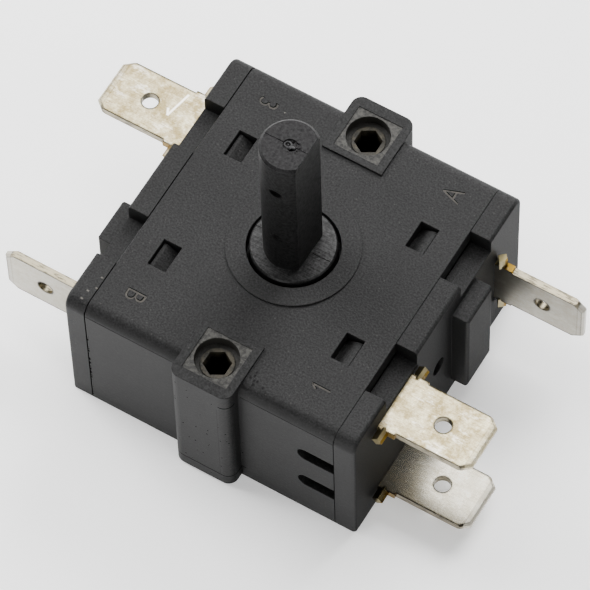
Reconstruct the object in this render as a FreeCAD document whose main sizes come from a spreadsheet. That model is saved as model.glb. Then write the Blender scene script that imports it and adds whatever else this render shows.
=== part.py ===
import FreeCAD, Part
import math
import os
import Sketcher

# Panel rotary switch, in millimetres. +Z runs up the shaft, +X along the tab terminals.
# The origin is on the shaft's axis, at the underside of the base.
# Nearly everything is laid out twice, the second time turned by half a turn about the shaft.

SIZES = {
    # housing: its length, width and height follow from what it holds
    "end_wall": 2.3,
    "side_wall": 1.5,
    "floor": 1.8,
    "plate": 1.8,
    "seam_gap": 0.05,
    "side_space": 0.8,
    "stop_space": 3.0,
    "base_edge": 0.4,
    "edge_round": 1.4,
    "corner_round": 0.4,
    "seam_round": 0.12,
    "notch_near": 4.25,
    "notch_length": 5.95,
    "notch_depth": 2.0,
    "rib_near": 2.55,
    "rib_width": 4.8,
    "rib_reach": 1.85,
    "rib_bottom": 1.85,
    "rib_drop": 2.95,
    "rib_round": 0.35,
    "vent_radius": 1.05,
    # windows in the cover and the snap hooks that stand in them
    "window_width": 2.04,
    "window_length": 3.16,
    "hook_stem": 0.8,
    "hook_leg_gap": 0.35,
    "hook_side_leg_gap": 0.25,
    "hook_gap": 0.15,
    "hook_side_gap": 0.16,
    "hook_drop": 0.4,
    "hook_land": 0.35,
    "hook_nose": 0.75,
    "hook_nose_height": 0.35,
    "catch_ledge": 0.35,
    "catch_gap": 0.05,
    # latch slots in the cover's side walls
    "slot_length": 4.1,
    "slot_bottom": 4.9,
    "slot_width": 1.9,
    "tongue_width": 3.5,
    # screw bosses
    "screw_inset": 1.85,
    "counterbore_radius": 2.25,
    "counterbore_depth": 1.2,
    "boss_side": 1.15,
    "boss_back": 1.0,
    "boss_front": 1.45,
    "boss_rise": 0.28,
    "boss_round": 1.1,
    "boss_column_gap": 1.75,
    "foot_round": 0.3,
    "pilot_across_flats": 2.5,
    "pilot_end": 0.7,
    "pilot_ring": 0.28,
    "pilot_ring_rise": 0.08,
    "inset_lip": 0.25,
    "inset_depth": 0.08,
    # shaft and rotor
    "shaft_radius": 3.0,
    "shaft_length": 18.8,
    "flat_depth": 1.05,
    "shaft_chamfer": 0.25,
    "gate_radius": 0.7,
    "gate_depth": 0.15,
    "dent_width": 1.5,
    "dent_height": 0.7,
    "dent_depth": 0.1,
    "dent_drop": 4.5,
    "dent_pitch": 8.4,
    "journal_radius": 4.35,
    "bearing_gap": 0.05,
    "mouth_gap": 0.35,
    "disc_rise": 0.6,
    "disc_chamfer": 0.15,
    "collar_width": 2.0,
    "collar_rise": 0.2,
    "bearing_wall": 1.6,
    "pin_radius": 2.0,
    "pin_length": 1.2,
    "rotor_float": 0.05,
    "step_angle": 45.0,
    "star_radius": 6.0,
    "star_thickness": 2.6,
    "star_notch_depth": 0.8,
    "star_notch_half": 16.0,
    "star_gap": 0.55,
    "cam_lobe": 9.0,
    "cam_rise": 0.8,
    "cam_thickness": 2.6,
    "cam_gap": 2.8,
    "cam_ramp": 10.0,
    "valley_half": 12.0,
    # end stops
    "stop_width": 0.9,
    "stop_inset": 0.1,
    "stop_height": 1.8,
    "stop_gap": 0.15,
    "lug_angle": 30.0,
    "lug_centre": 235.0,
    "stop_angle": 20.0,
    "stop_margin": 1.5,
    "travel": 135.0,
    # tab terminals, punched from sheet
    "sheet": 0.8,
    "sheet_gap": 0.05,
    "bend_radius": 0.4,
    "tab_width": 6.3,
    "tab_length": 10.05,
    "neck_width": 6.8,
    "neck_length": 1.9,
    "tip_cut_length": 0.9,
    "tip_cut_width": 0.75,
    "tab_bevel": 0.2,
    "tab_hole_radius": 0.85,
    "tab_hole_inset": 4.65,
    "flat_tab_inset": 7.8,
    "tab_drop": 0.85,
    "edge_tab_inset": 5.15,
    "ear_length": 0.85,
    "ear_width": 1.3,
    "ear_turn": 40.0,
    "block_depth": 1.65,
    "leg_margin": 0.4,
    "root_leg_margin": 1.9,
    # contact springs, contacts and rivets
    "leaf_clearance": 0.45,
    "leaf_thickness": 0.3,
    "leaf_width": 2.4,
    "leaf_margin": 1.2,
    "bump_half": 1.6,
    "follower_gap": 0.1,
    "contact_offset": 1.7,
    "contact_radius": 1.1,
    "contact_tail_radius": 0.85,
    "contact_tail": 0.2,
    "moving_contact_height": 0.5,
    "contact_travel": 0.5,
    "fixed_contact_height": 0.85,
    "shank_radius": 0.6,
    "shank_gap": 0.05,
    "rivet_head_radius": 1.1,
    "rivet_head": 0.4,
    "rivet_inset": 0.9,
    "rivet_edge": 1.0,
    # detent
    "plunger_width": 3.8,
    "plunger_height": 2.55,
    "plunger_length": 4.3,
    "plunger_nose": 0.8,
    "nose_tip_half": 0.25,
    "nose_base_half": 1.5,
    "plunger_rest_gap": 0.1,
    "guide_gap": 0.05,
    "guide_wall": 0.8,
    "spring_radius": 0.95,
    "spring_wire": 0.35,
    "spring_wire_sides": 6,
    "spring_pitch": 0.96,
    "spring_seat_gap": 0.125,
    "spring_seat_depth": 1.5,
    "spring_length": 4.2,
}

DOC = FreeCAD.newDocument("rotary_switch")
DIMS = DOC.addObject("Spreadsheet::Sheet", "dims")
NODES = []


def fill_sheet():
    for row, (name, size) in enumerate(SIZES.items(), start=1):
        DIMS.set("A%d" % row, name)
        DIMS.set("B%d" % row, str(size))
        DIMS.setAlias("B%d" % row, name)
    DOC.recompute()


def number(expression):
    """The present value of an expression in the sheet's names."""
    return float(DIMS.evalExpression(expression))


def size(name):
    return "dims." + name


def total(*terms):
    return "(" + " + ".join(terms) + ")"


def minus(first, *others):
    return "(" + " - ".join((first,) + others) + ")"


def negative(term):
    return "(0 - %s)" % term


def share(term, divisor):
    return "(%s / %s)" % (term, divisor)


def polar(radius, angle):
    """A point at a radius and an angle in degrees about the shaft."""
    return ("(%s * cos(%s))" % (radius, angle), "(%s * sin(%s))" % (radius, angle))


# Heights that several pieces share, from the floor up.
STAR_BOTTOM = total(size("floor"), size("rotor_float"))
LOWER_CAM = total(STAR_BOTTOM, size("star_thickness"), size("star_gap"))
UPPER_CAM = total(LOWER_CAM, size("cam_thickness"), size("cam_gap"))
CAM_TOP = total(UPPER_CAM, size("cam_thickness"))
PLATE_UNDERSIDE = total(CAM_TOP, size("stop_space"))
BODY_HEIGHT = total(PLATE_UNDERSIDE, size("plate"))
BOSS_TOP = total(BODY_HEIGHT, size("boss_rise"))
DISC_TOP = total(BODY_HEIGHT, size("disc_rise"))
SHAFT_TOP = total(DISC_TOP, size("shaft_length"))
BEARING_BOTTOM = total(CAM_TOP, size("stop_gap"))
UPPER_CONTACT = total(UPPER_CAM, share(size("cam_thickness"), 2))
LOWER_CONTACT = total(LOWER_CAM, share(size("cam_thickness"), 2))
UPPER_TAB_TOP = minus(PLATE_UNDERSIDE, size("tab_drop"))
UPPER_TAB_BOTTOM = minus(UPPER_TAB_TOP, size("sheet"))
LOWER_TAB_BOTTOM = total(size("floor"), size("sheet_gap"))
MIDDLE_HEIGHT = share(total(size("floor"), UPPER_TAB_TOP, size("sheet_gap")), 2)
LEDGE_TOP = total(PLATE_UNDERSIDE, size("catch_ledge"))
HOOK_TOP = minus(BODY_HEIGHT, size("hook_drop"))
PLUNGER_BOTTOM = total(size("floor"), size("guide_gap"))
GUIDE_TOP = total(PLUNGER_BOTTOM, size("plunger_height"))
SPRING_HEIGHT = total(PLUNGER_BOTTOM, share(size("plunger_height"), 2))
COLUMN_BOTTOM = total(GUIDE_TOP, size("boss_column_gap"))

# Faces from the cams outwards to the end walls.
CAM_VALLEY = minus(size("cam_lobe"), size("cam_rise"))
LEAF_FACE = total(size("cam_lobe"), size("leaf_clearance"))
LEAF_BACK = total(LEAF_FACE, size("leaf_thickness"))
MOVING_FACE = total(LEAF_BACK, size("moving_contact_height"))
FIXED_FACE = total(MOVING_FACE, size("contact_travel"))
LEG_FACE = total(FIXED_FACE, size("fixed_contact_height"))
LEG_BACK = total(LEG_FACE, size("sheet"))
BLOCK_FACE = total(LEG_BACK, size("sheet_gap"))
WALL_FACE = total(BLOCK_FACE, size("block_depth"))
HALF_LENGTH = total(WALL_FACE, size("end_wall"))
HALF_COVER = minus(WALL_FACE, size("seam_gap"))
TAB_REACH = total(HALF_LENGTH, size("tab_length"))
HOOK_OUTER = minus(LEG_FACE, size("hook_leg_gap"))
HOOK_INNER = minus(HOOK_OUTER, size("hook_stem"))
WINDOW_OUTER = total(HOOK_OUTER, size("hook_gap"))
WINDOW_INNER = minus(WINDOW_OUTER, size("window_width"))

STOP_OUTER = minus(size("cam_lobe"), size("stop_inset"))
STOP_INNER = minus(STOP_OUTER, size("stop_width"))

# Faces from the detent star outwards to the side walls.
PLUNGER_TIP = total(size("star_radius"), size("plunger_rest_gap"))
PLUNGER_BACK = total(PLUNGER_TIP, size("plunger_length"))
SPRING_START = total(minus(PLUNGER_BACK, size("spring_seat_depth")), size("guide_gap"))
SPRING_END = total(SPRING_START, size("spring_length"))
GUIDE_HALF = total(share(size("plunger_width"), 2), size("guide_gap"))
GUIDE_BACK = total(SPRING_END, size("guide_gap"))
INNER_HALF_WIDTH = total(GUIDE_BACK, size("guide_wall"), size("side_space"))
HALF_WIDTH = total(INNER_HALF_WIDTH, size("side_wall"))
HALF_PITCH = minus(HALF_WIDTH, size("screw_inset"))
HALF_BOSS = total(size("counterbore_radius"), size("boss_side"))
BOSS_INNER = minus(HALF_PITCH, size("counterbore_radius"), size("boss_back"))
BOSS_OUTER = total(HALF_PITCH, size("counterbore_radius"), size("boss_front"))
EDGE_TAB_FACE = minus(HALF_WIDTH, size("edge_tab_inset"))
EDGE_TAB_BACK = total(EDGE_TAB_FACE, size("sheet"))
OUTER_BEND = total(size("bend_radius"), size("sheet"))
RIVET_Y = minus(EDGE_TAB_BACK, OUTER_BEND, size("rivet_inset"))
ROOT_LEG_END = minus(RIVET_Y, size("rivet_edge"))
FLAT_TAB_CENTRE = minus(HALF_WIDTH, size("flat_tab_inset"))
CONTACT_Y = total(FLAT_TAB_CENTRE, size("contact_offset"))
HALF_HOOK = minus(share(size("window_length"), 2), size("hook_side_gap"))
WINDOW_Y = minus(ROOT_LEG_END, size("hook_side_leg_gap"), HALF_HOOK)
HALF_NECK = share(size("neck_width"), 2)
HALF_TAB = share(size("tab_width"), 2)
BLOCK_HALF = total(HALF_NECK, size("sheet_gap"))


def new_body(label, half_turn=False):
    body = DOC.addObject("PartDesign::Body", label)
    body.Label = label
    if half_turn:
        turn = FreeCAD.Rotation(FreeCAD.Vector(0, 0, 1), 180)
        body.Placement = FreeCAD.Placement(FreeCAD.Vector(0, 0, 0), turn)
    NODES.append(body)
    return body


def new_sketch(body, name, plane="XY", offset="0", shift=("0", "0")):
    """A sketch on one of the body's own planes, moved along its normal and within it."""
    sketch = body.newObject("Sketcher::SketchObject", name)
    planes = [f for f in body.Origin.OriginFeatures if f.Role == plane + "_Plane"]
    sketch.AttachmentSupport = [(planes[0], "")]
    sketch.MapMode = "FlatFace"
    sketch.setExpression("AttachmentOffset.Base.x", shift[0])
    sketch.setExpression("AttachmentOffset.Base.y", shift[1])
    sketch.setExpression("AttachmentOffset.Base.z", offset)
    return sketch


def bind(sketch, constraint, expression):
    index = sketch.addConstraint(constraint)
    sketch.setExpression("Constraints[%d]" % index, expression)


def fix_point(sketch, edge, end, point):
    """Ties one end of an edge to the sketch's origin by its two coordinates."""
    for kind, expression in zip(("DistanceX", "DistanceY"), point):
        bind(sketch, Sketcher.Constraint(kind, -1, 1, edge, end, number(expression)), expression)


def arc_between(start, end, radius):
    """An arc of less than half a turn, counterclockwise where the radius is positive."""
    chord = end - start
    rise = math.sqrt(max(radius * radius - chord.Length ** 2 / 4, 0.0))
    side = FreeCAD.Vector(-chord.y, chord.x, 0).normalize() * (rise if radius > 0 else -rise)
    centre = (start + end) * 0.5 + side
    first, last = (start, end) if radius > 0 else (end, start)
    angles = [math.atan2(p.y - centre.y, p.x - centre.x) for p in (first, last)]
    if angles[1] <= angles[0]:
        angles[1] += 2 * math.pi
    circle = Part.Circle(centre, FreeCAD.Vector(0, 0, 1), abs(radius))
    return Part.ArcOfCircle(circle, angles[0], angles[1])


def outline(sketch, points, arcs=None):
    """A closed outline through points given as expressions.

    arcs gives, by the number of an edge, its radius and the way that it turns, 1 or -1."""
    arcs = arcs or {}
    places = [FreeCAD.Vector(number(x), number(y), 0) for x, y in points]
    first = sketch.GeometryCount
    ends = []
    for i, start in enumerate(places):
        end = places[(i + 1) % len(places)]
        if i in arcs:
            radius, way = arcs[i]
            edge = sketch.addGeometry(arc_between(start, end, number(radius) * way))
            bind(sketch, Sketcher.Constraint("Radius", edge, number(radius)), radius)
            ends.append((edge, 1, 2) if way > 0 else (edge, 2, 1))
        else:
            edge = sketch.addGeometry(Part.LineSegment(start, end))
            ends.append((edge, 1, 2))
    for i, (edge, start, _) in enumerate(ends):
        before = ends[i - 1]
        sketch.addConstraint(Sketcher.Constraint("Coincident", before[0], before[2], edge, start))
        fix_point(sketch, edge, start, points[i])
    return first


def rectangle(sketch, x0, x1, y0, y1):
    outline(sketch, [(x0, y0), (x1, y0), (x1, y1), (x0, y1)])


def twin_rectangles(sketch, x0, x1, y0, y1):
    """A rectangle and the same one turned by half a turn."""
    rectangle(sketch, x0, x1, y0, y1)
    rectangle(sketch, negative(x1), negative(x0), negative(y1), negative(y0))


def circle(sketch, x, y, radius):
    shape = Part.Circle(
        FreeCAD.Vector(number(x), number(y), 0), FreeCAD.Vector(0, 0, 1), number(radius))
    edge = sketch.addGeometry(shape)
    fix_point(sketch, edge, 3, (x, y))
    bind(sketch, Sketcher.Constraint("Radius", edge, number(radius)), radius)


def pad(body, sketch, length, midplane=False, backwards=False):
    feature = body.newObject("PartDesign::Pad", sketch.Name + "_pad")
    feature.Profile = sketch
    feature.setExpression("Length", length)
    feature.Midplane = midplane
    feature.Reversed = backwards
    DOC.recompute()
    return feature


def pocket(body, sketch, length, midplane=False, backwards=False):
    """Cuts against the sketch's normal, or along it where backwards is set."""
    before = body.Shape.Volume
    feature = body.newObject("PartDesign::Pocket", sketch.Name + "_cut")
    feature.Profile = sketch
    feature.setExpression("Length", length)
    feature.Midplane = midplane
    feature.Reversed = backwards
    DOC.recompute()
    if not body.Shape.Volume < before - 1e-6:
        raise RuntimeError("the cut %s removed nothing" % feature.Name)
    return feature


def revolve(body, sketch, axis):
    feature = body.newObject("PartDesign::Revolution", sketch.Name + "_turned")
    feature.Profile = sketch
    feature.ReferenceAxis = (sketch, [axis])
    feature.Angle = 360
    DOC.recompute()
    return feature


def edge_names(shape, wanted):
    return ["Edge%d" % i for i, edge in enumerate(shape.Edges, start=1) if wanted(edge)]


def dress(body, kind, name, length, wanted):
    """A fillet or chamfer on the edges of the body's tip that wanted picks."""
    base = body.Tip
    feature = body.newObject("PartDesign::" + kind, name)
    feature.Base = (base, edge_names(base.Shape, wanted))
    feature.setExpression("Radius" if kind == "Fillet" else "Size", length)
    DOC.recompute()
    return feature


def near(a, b):
    return abs(a - b) < 1e-4


def upright_at(edge, x, y):
    """Whether an edge is vertical and stands at |x|, |y|."""
    box = edge.BoundBox
    flat = box.XLength < 1e-4 and box.YLength < 1e-4
    return flat and near(abs(box.Center.x), x) and near(abs(box.Center.y), y)


# Base: floor, two end walls with their ribs and notches, terminal blocks, snap hooks,
# detent guides.
def make_base():
    body = new_body("base")
    floor = new_sketch(body, "floor_outline")
    rectangle(floor, negative(HALF_LENGTH), HALF_LENGTH, negative(HALF_WIDTH), HALF_WIDTH)
    pad(body, floor, size("base_edge"))
    raised = new_sketch(body, "raised_floor")
    inner = minus(INNER_HALF_WIDTH, size("seam_gap"))
    rectangle(raised, negative(HALF_LENGTH), HALF_LENGTH, negative(inner), inner)
    pad(body, raised, size("floor"))
    feet = new_sketch(body, "boss_feet")
    twin_rectangles(feet, negative(HALF_BOSS), HALF_BOSS, minus(inner, "1"), BOSS_OUTER)
    pad(body, feet, size("floor"))
    round_feet(body)
    make_end_walls(body)
    make_terminal_blocks(body)
    cut_terminal_slots(body)
    clear_bends(body)
    make_hooks(body)
    make_detent_guides(body)
    bore = new_sketch(body, "pin_bore", offset=size("floor"))
    circle(bore, "0", "0", total(size("pin_radius"), size("bearing_gap")))
    pocket(body, bore, total(size("pin_length"), size("rotor_float")))
    vents = new_sketch(body, "vents", "YZ")
    circle(vents, "0", MIDDLE_HEIGHT, size("vent_radius"))
    pocket(body, vents, "(3 * %s)" % HALF_LENGTH, midplane=True)
    return body


def round_feet(body):
    def corner(edge):
        return upright_at(edge, number(HALF_BOSS), number(BOSS_OUTER))

    def rim(edge):
        box = edge.BoundBox
        return near(box.ZMax, 0) and abs(box.Center.y) > number(HALF_WIDTH) + 1e-3

    dress(body, "Fillet", "foot_corners", size("boss_round"), corner)
    dress(body, "Fillet", "foot_rims", size("foot_round"), rim)


def make_end_walls(body):
    shoulder = minus(BODY_HEIGHT, size("edge_round"))
    flat_end = minus(HALF_WIDTH, size("edge_round"))
    for name, start in (("right", WALL_FACE), ("left", negative(HALF_LENGTH))):
        wall = new_sketch(body, name + "_end_wall", "YZ", offset=start)
        outline(wall, [
            (negative(HALF_WIDTH), "0"),
            (HALF_WIDTH, "0"),
            (HALF_WIDTH, shoulder),
            (flat_end, BODY_HEIGHT),
            (negative(flat_end), BODY_HEIGHT),
            (negative(HALF_WIDTH), shoulder),
        ], {2: (size("edge_round"), 1), 4: (size("edge_round"), 1)})
        pad(body, wall, size("end_wall"))

    def corner(edge):
        return upright_at(edge, number(HALF_LENGTH), number(HALF_WIDTH))

    # the rounding runs on from the upright corners over the top edge
    dress(body, "Fillet", "wall_corners", size("corner_round"), corner)
    notches = new_sketch(body, "notches", offset=BODY_HEIGHT)
    outer = total(HALF_LENGTH, "1")
    notch_far = total(size("notch_near"), size("notch_length"))
    twin_rectangles(notches, minus(WALL_FACE, "0.5"), outer, size("notch_near"), notch_far)
    twin_rectangles(notches, minus(WALL_FACE, "0.5"), outer,
                    negative(notch_far), negative(size("notch_near")))
    pocket(body, notches, size("notch_depth"))
    ribs = new_sketch(body, "ribs", offset=size("rib_bottom"))
    rib_face = total(HALF_LENGTH, size("rib_reach"))
    twin_rectangles(ribs, minus(HALF_LENGTH, "0.5"), rib_face,
                    size("rib_near"), total(size("rib_near"), size("rib_width")))
    pad(body, ribs, minus(BODY_HEIGHT, size("rib_drop"), size("rib_bottom")))

    def rib_edge(edge):
        middle = edge.BoundBox.Center.x
        return edge.BoundBox.XLength < 1e-4 and near(abs(middle), number(rib_face))

    dress(body, "Fillet", "rib_edges", size("rib_round"), rib_edge)


def make_terminal_blocks(body):
    """Blocks against the end walls, which the flat terminals' legs hang or stand against."""
    blocks = new_sketch(body, "terminal_blocks")
    twin_rectangles(blocks, BLOCK_FACE, total(WALL_FACE, "0.5"),
                    negative(total(FLAT_TAB_CENTRE, BLOCK_HALF)),
                    negative(minus(FLAT_TAB_CENTRE, BLOCK_HALF)))
    pad(body, blocks, minus(UPPER_TAB_BOTTOM, size("sheet_gap")))


def clear_bends(body):
    """Rounds the edges of the blocks that lie in the bends of the flat terminals."""
    face = number(BLOCK_FACE)
    heights = [number(minus(UPPER_TAB_BOTTOM, size("sheet_gap"))),
               number(total(LOWER_TAB_BOTTOM, size("sheet"), size("sheet_gap")))]

    def in_bend(edge):
        box = edge.BoundBox
        level = box.ZLength < 1e-4 and any(near(box.ZMin, height) for height in heights)
        return level and box.XLength < 1e-4 and near(abs(box.XMin), face)

    dress(body, "Fillet", "bend_clearance", total(size("bend_radius"), size("sheet_gap")), in_bend)


def cut_terminal_slots(body):
    outer = total(HALF_LENGTH, "3")
    y0 = negative(total(FLAT_TAB_CENTRE, BLOCK_HALF))
    y1 = negative(minus(FLAT_TAB_CENTRE, BLOCK_HALF))
    slot = total(size("sheet"), "2 * " + size("sheet_gap"))
    upper = new_sketch(body, "upper_slots", offset=total(UPPER_TAB_TOP, size("sheet_gap")))
    twin_rectangles(upper, minus(WALL_FACE, "0.5"), outer, y0, y1)
    pocket(body, upper, slot)
    lower = new_sketch(body, "lower_slot",
                       offset=total(LOWER_TAB_BOTTOM, size("sheet"), size("sheet_gap")))
    rectangle(lower, LEG_FACE, outer, y0, y1)
    pocket(body, lower, slot)
    edge = new_sketch(body, "edge_slots", offset=total(MIDDLE_HEIGHT, BLOCK_HALF))
    twin_rectangles(edge, minus(WALL_FACE, "0.5"), outer,
                    minus(EDGE_TAB_FACE, size("sheet_gap")), total(EDGE_TAB_BACK, size("sheet_gap")))
    pocket(body, edge, "2 * " + BLOCK_HALF)


def make_hooks(body):
    """Four snap hooks. Each stem is drawn from the side, with its nose towards the shaft."""
    nose_bottom = total(LEDGE_TOP, size("catch_gap"))
    nose_tip = minus(HOOK_INNER, size("hook_nose"))
    for way, label in (("1", "right"), ("-1", "left")):
        for side, end in (("1", "back"), ("-1", "front")):
            # this plane's normal runs towards the front
            middle = "(-1 * %s * %s)" % (side, WINDOW_Y)
            hook = new_sketch(body, "hook_%s_%s" % (label, end), "XZ", offset=middle)
            points = [
                (HOOK_OUTER, minus(size("floor"), "0.5")),
                (HOOK_OUTER, HOOK_TOP),
                (minus(HOOK_OUTER, size("hook_land")), HOOK_TOP),
                (nose_tip, total(nose_bottom, size("hook_nose_height"))),
                (nose_tip, nose_bottom),
                (HOOK_INNER, nose_bottom),
                (HOOK_INNER, minus(size("floor"), "0.5")),
            ]
            outline(hook, [("(%s * %s)" % (way, x), z) for x, z in points])
            pad(body, hook, "2 * " + HALF_HOOK, midplane=True)


def make_detent_guides(body):
    """A channel for each plunger, closed by the wall that its spring pushes on."""
    outer = total(GUIDE_HALF, size("guide_wall"))
    guides = new_sketch(body, "detent_guides")
    for sign in ("1", "-1"):
        start = total(PLUNGER_TIP, size("plunger_nose"), "0.4")
        outline(guides, [(x, "(%s * %s)" % (sign, y)) for x, y in (
            (GUIDE_HALF, start),
            (outer, start),
            (outer, total(GUIDE_BACK, size("guide_wall"))),
            (negative(outer), total(GUIDE_BACK, size("guide_wall"))),
            (negative(outer), start),
            (negative(GUIDE_HALF), start),
            (negative(GUIDE_HALF), GUIDE_BACK),
            (GUIDE_HALF, GUIDE_BACK),
        )])
    pad(body, guides, GUIDE_TOP)


# Cover: top plate and side walls as one channel, screw bosses, shaft bearing, windows.
def make_cover():
    body = new_body("cover")
    make_channel(body)
    make_bosses(body)
    make_bearing(body)
    cut_windows(body)
    cut_latch_slots(body)
    make_stops(body)
    return body


def make_channel(body):
    channel = new_sketch(body, "channel", "YZ")
    top = BODY_HEIGHT
    low = size("base_edge")
    inner = INNER_HALF_WIDTH
    rounding = size("edge_round")
    points = [
        (negative(HALF_WIDTH), low),
        (negative(inner), low),
        (negative(inner), PLATE_UNDERSIDE),
        (inner, PLATE_UNDERSIDE),
        (inner, low),
        (HALF_WIDTH, low),
        (HALF_WIDTH, minus(top, rounding)),
        (minus(HALF_WIDTH, rounding), top),
        (negative(minus(HALF_WIDTH, rounding)), top),
        (negative(HALF_WIDTH), minus(top, rounding)),
    ]
    outline(channel, points, {6: (rounding, 1), 8: (rounding, 1)})
    pad(body, channel, "2 * " + HALF_COVER, midplane=True)

    def left_rim(edge):
        box = edge.BoundBox
        outside = box.ZMax > number(PLATE_UNDERSIDE) + 0.1 or near(abs(box.Center.y), number(HALF_WIDTH))
        return near(box.XMin, -number(HALF_COVER)) and box.XLength < 1e-4 and outside

    # the seam at this end gapes a little more than the other
    dress(body, "Fillet", "left_rim", size("seam_round"), left_rim)


def make_bosses(body):
    column = new_sketch(body, "boss_columns", offset=COLUMN_BOTTOM)
    twin_rectangles(column, negative(HALF_BOSS), HALF_BOSS, BOSS_INNER, BOSS_OUTER)
    pad(body, column, minus(BOSS_TOP, COLUMN_BOTTOM))
    skirt = new_sketch(body, "boss_skirts", offset=size("floor"))
    twin_rectangles(skirt, negative(HALF_BOSS), HALF_BOSS,
                    minus(HALF_WIDTH, share(size("side_wall"), 2)), BOSS_OUTER)
    pad(body, skirt, total(minus(COLUMN_BOTTOM, size("floor")), "0.5"))
    foot_bay = new_sketch(body, "foot_bays", offset=size("floor"))
    bay = total(HALF_BOSS, size("seam_gap"))
    twin_rectangles(foot_bay, negative(bay), bay, minus(HALF_WIDTH, size("side_wall"), "0.5"),
                    total(BOSS_OUTER, "1"))
    pocket(body, foot_bay, size("floor"))

    def corner(edge):
        return upright_at(edge, number(HALF_BOSS), number(BOSS_OUTER))

    dress(body, "Fillet", "boss_corners", size("boss_round"), corner)
    inset = new_sketch(body, "boss_insets", offset=BOSS_TOP)
    half = total(size("counterbore_radius"), size("inset_lip"))
    twin_rectangles(inset, negative(half), half, minus(HALF_PITCH, half), total(HALF_PITCH, half))
    pocket(body, inset, size("inset_depth"))
    bore = new_sketch(body, "counterbores", offset=BOSS_TOP)
    ring = new_sketch(body, "pilot_rings", offset=minus(BOSS_TOP, size("counterbore_depth"), "0.1"))
    pilot = new_sketch(body, "pilots", offset=total(minus(BOSS_TOP, size("counterbore_depth")), "0.5"))
    corner_radius = "(%s / 2 / cos(30))" % size("pilot_across_flats")
    for sign in ("1", "-1"):
        y = "(%s * %s)" % (sign, HALF_PITCH)
        circle(bore, "0", y, size("counterbore_radius"))
        circle(ring, "0", y, total(corner_radius, size("pilot_ring")))
        spokes = [polar(corner_radius, str(30 + 60 * i)) for i in range(6)]
        outline(pilot, [(x, total(y, dy)) for x, dy in spokes])
    pocket(body, bore, size("counterbore_depth"))
    pad(body, ring, total(size("pilot_ring_rise"), "0.1"))
    depth = minus(BOSS_TOP, size("counterbore_depth"), COLUMN_BOTTOM, size("pilot_end"))
    pocket(body, pilot, total(depth, "0.5"))


def make_bearing(body):
    """The raised collar round the shaft, and the tube below it that the rotor turns in."""
    mouth_radius = total(size("journal_radius"), size("mouth_gap"))
    collar = new_sketch(body, "collar", offset=PLATE_UNDERSIDE)
    circle(collar, "0", "0", total(mouth_radius, size("collar_width")))
    pad(body, collar, total(size("plate"), size("collar_rise")))
    tube = new_sketch(body, "bearing_tube", offset=BEARING_BOTTOM)
    circle(tube, "0", "0", total(size("journal_radius"), size("bearing_gap"), size("bearing_wall")))
    pad(body, tube, total(minus(PLATE_UNDERSIDE, BEARING_BOTTOM), "0.5"))
    bore = new_sketch(body, "bearing_bore", offset=total(BODY_HEIGHT, "1"))
    circle(bore, "0", "0", total(size("journal_radius"), size("bearing_gap")))
    pocket(body, bore, total(size("plate"), BODY_HEIGHT))
    mouth = new_sketch(body, "shaft_hole", offset=total(BODY_HEIGHT, "1"))
    circle(mouth, "0", "0", mouth_radius)
    pocket(body, mouth, total(size("plate"), "1"))


def cut_windows(body):
    y0 = minus(WINDOW_Y, share(size("window_length"), 2))
    y1 = total(WINDOW_Y, share(size("window_length"), 2))
    wide = new_sketch(body, "windows", offset=total(BODY_HEIGHT, "1"))
    through = new_sketch(body, "window_throats", offset=total(BODY_HEIGHT, "1"))
    throat = minus(HOOK_INNER, size("hook_gap"))
    for low, high in ((y0, y1), (negative(y1), negative(y0))):
        twin_rectangles(wide, WINDOW_INNER, WINDOW_OUTER, low, high)
        twin_rectangles(through, throat, WINDOW_OUTER, low, high)
    pocket(body, wide, minus(total(BODY_HEIGHT, "1"), LEDGE_TOP))
    pocket(body, through, total(size("plate"), "2"))


def cut_latch_slots(body):
    """Two slots at one end of each side wall, which leave a springy tongue between them."""
    for sign, name, backwards in (("1", "front", True), ("-1", "back", False)):
        slots = new_sketch(body, "latch_slots_" + name, "XZ")
        upper = total(size("slot_bottom"), size("slot_width"), size("tongue_width"))
        start = minus(HALF_COVER, size("slot_length"))
        for low in (size("slot_bottom"), upper):
            radius = share(size("slot_width"), 2)
            middle = total(low, radius)
            high = total(low, size("slot_width"))
            centre = total(start, radius)
            end = total(HALF_COVER, "1")
            points = [(end, low), (end, high), (centre, high), (start, middle),
                      (centre, low)]
            way = int(sign)
            outline(slots, [("(%s * %s)" % (sign, x), z) for x, z in points],
                    {2: (radius, way), 3: (radius, way)})
        pocket(body, slots, total(HALF_WIDTH, "2"), backwards=backwards)


def ring_sector(sketch, inner, outer, start, end):
    """A piece of a ring between two angles."""
    outline(sketch, [polar(inner, start), polar(outer, start), polar(outer, end), polar(inner, end)],
            {1: (outer, 1), 3: (inner, -1)})


def make_stops(body):
    """Two blocks under the plate, one at each end of the rotor's travel."""
    half_lug = share(size("lug_angle"), 2)
    after = total(size("lug_centre"), half_lug, size("stop_margin"))
    before = minus(size("lug_centre"), half_lug, size("travel"), size("stop_margin"))
    stops = new_sketch(body, "stops", offset=total(CAM_TOP, size("stop_gap")))
    for start, end in ((after, total(after, size("stop_angle"))),
                       (minus(before, size("stop_angle")), before)):
        ring_sector(stops, STOP_INNER, STOP_OUTER, start, end)
    pad(body, stops, total(minus(PLATE_UNDERSIDE, CAM_TOP, size("stop_gap")), "0.5"))


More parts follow.
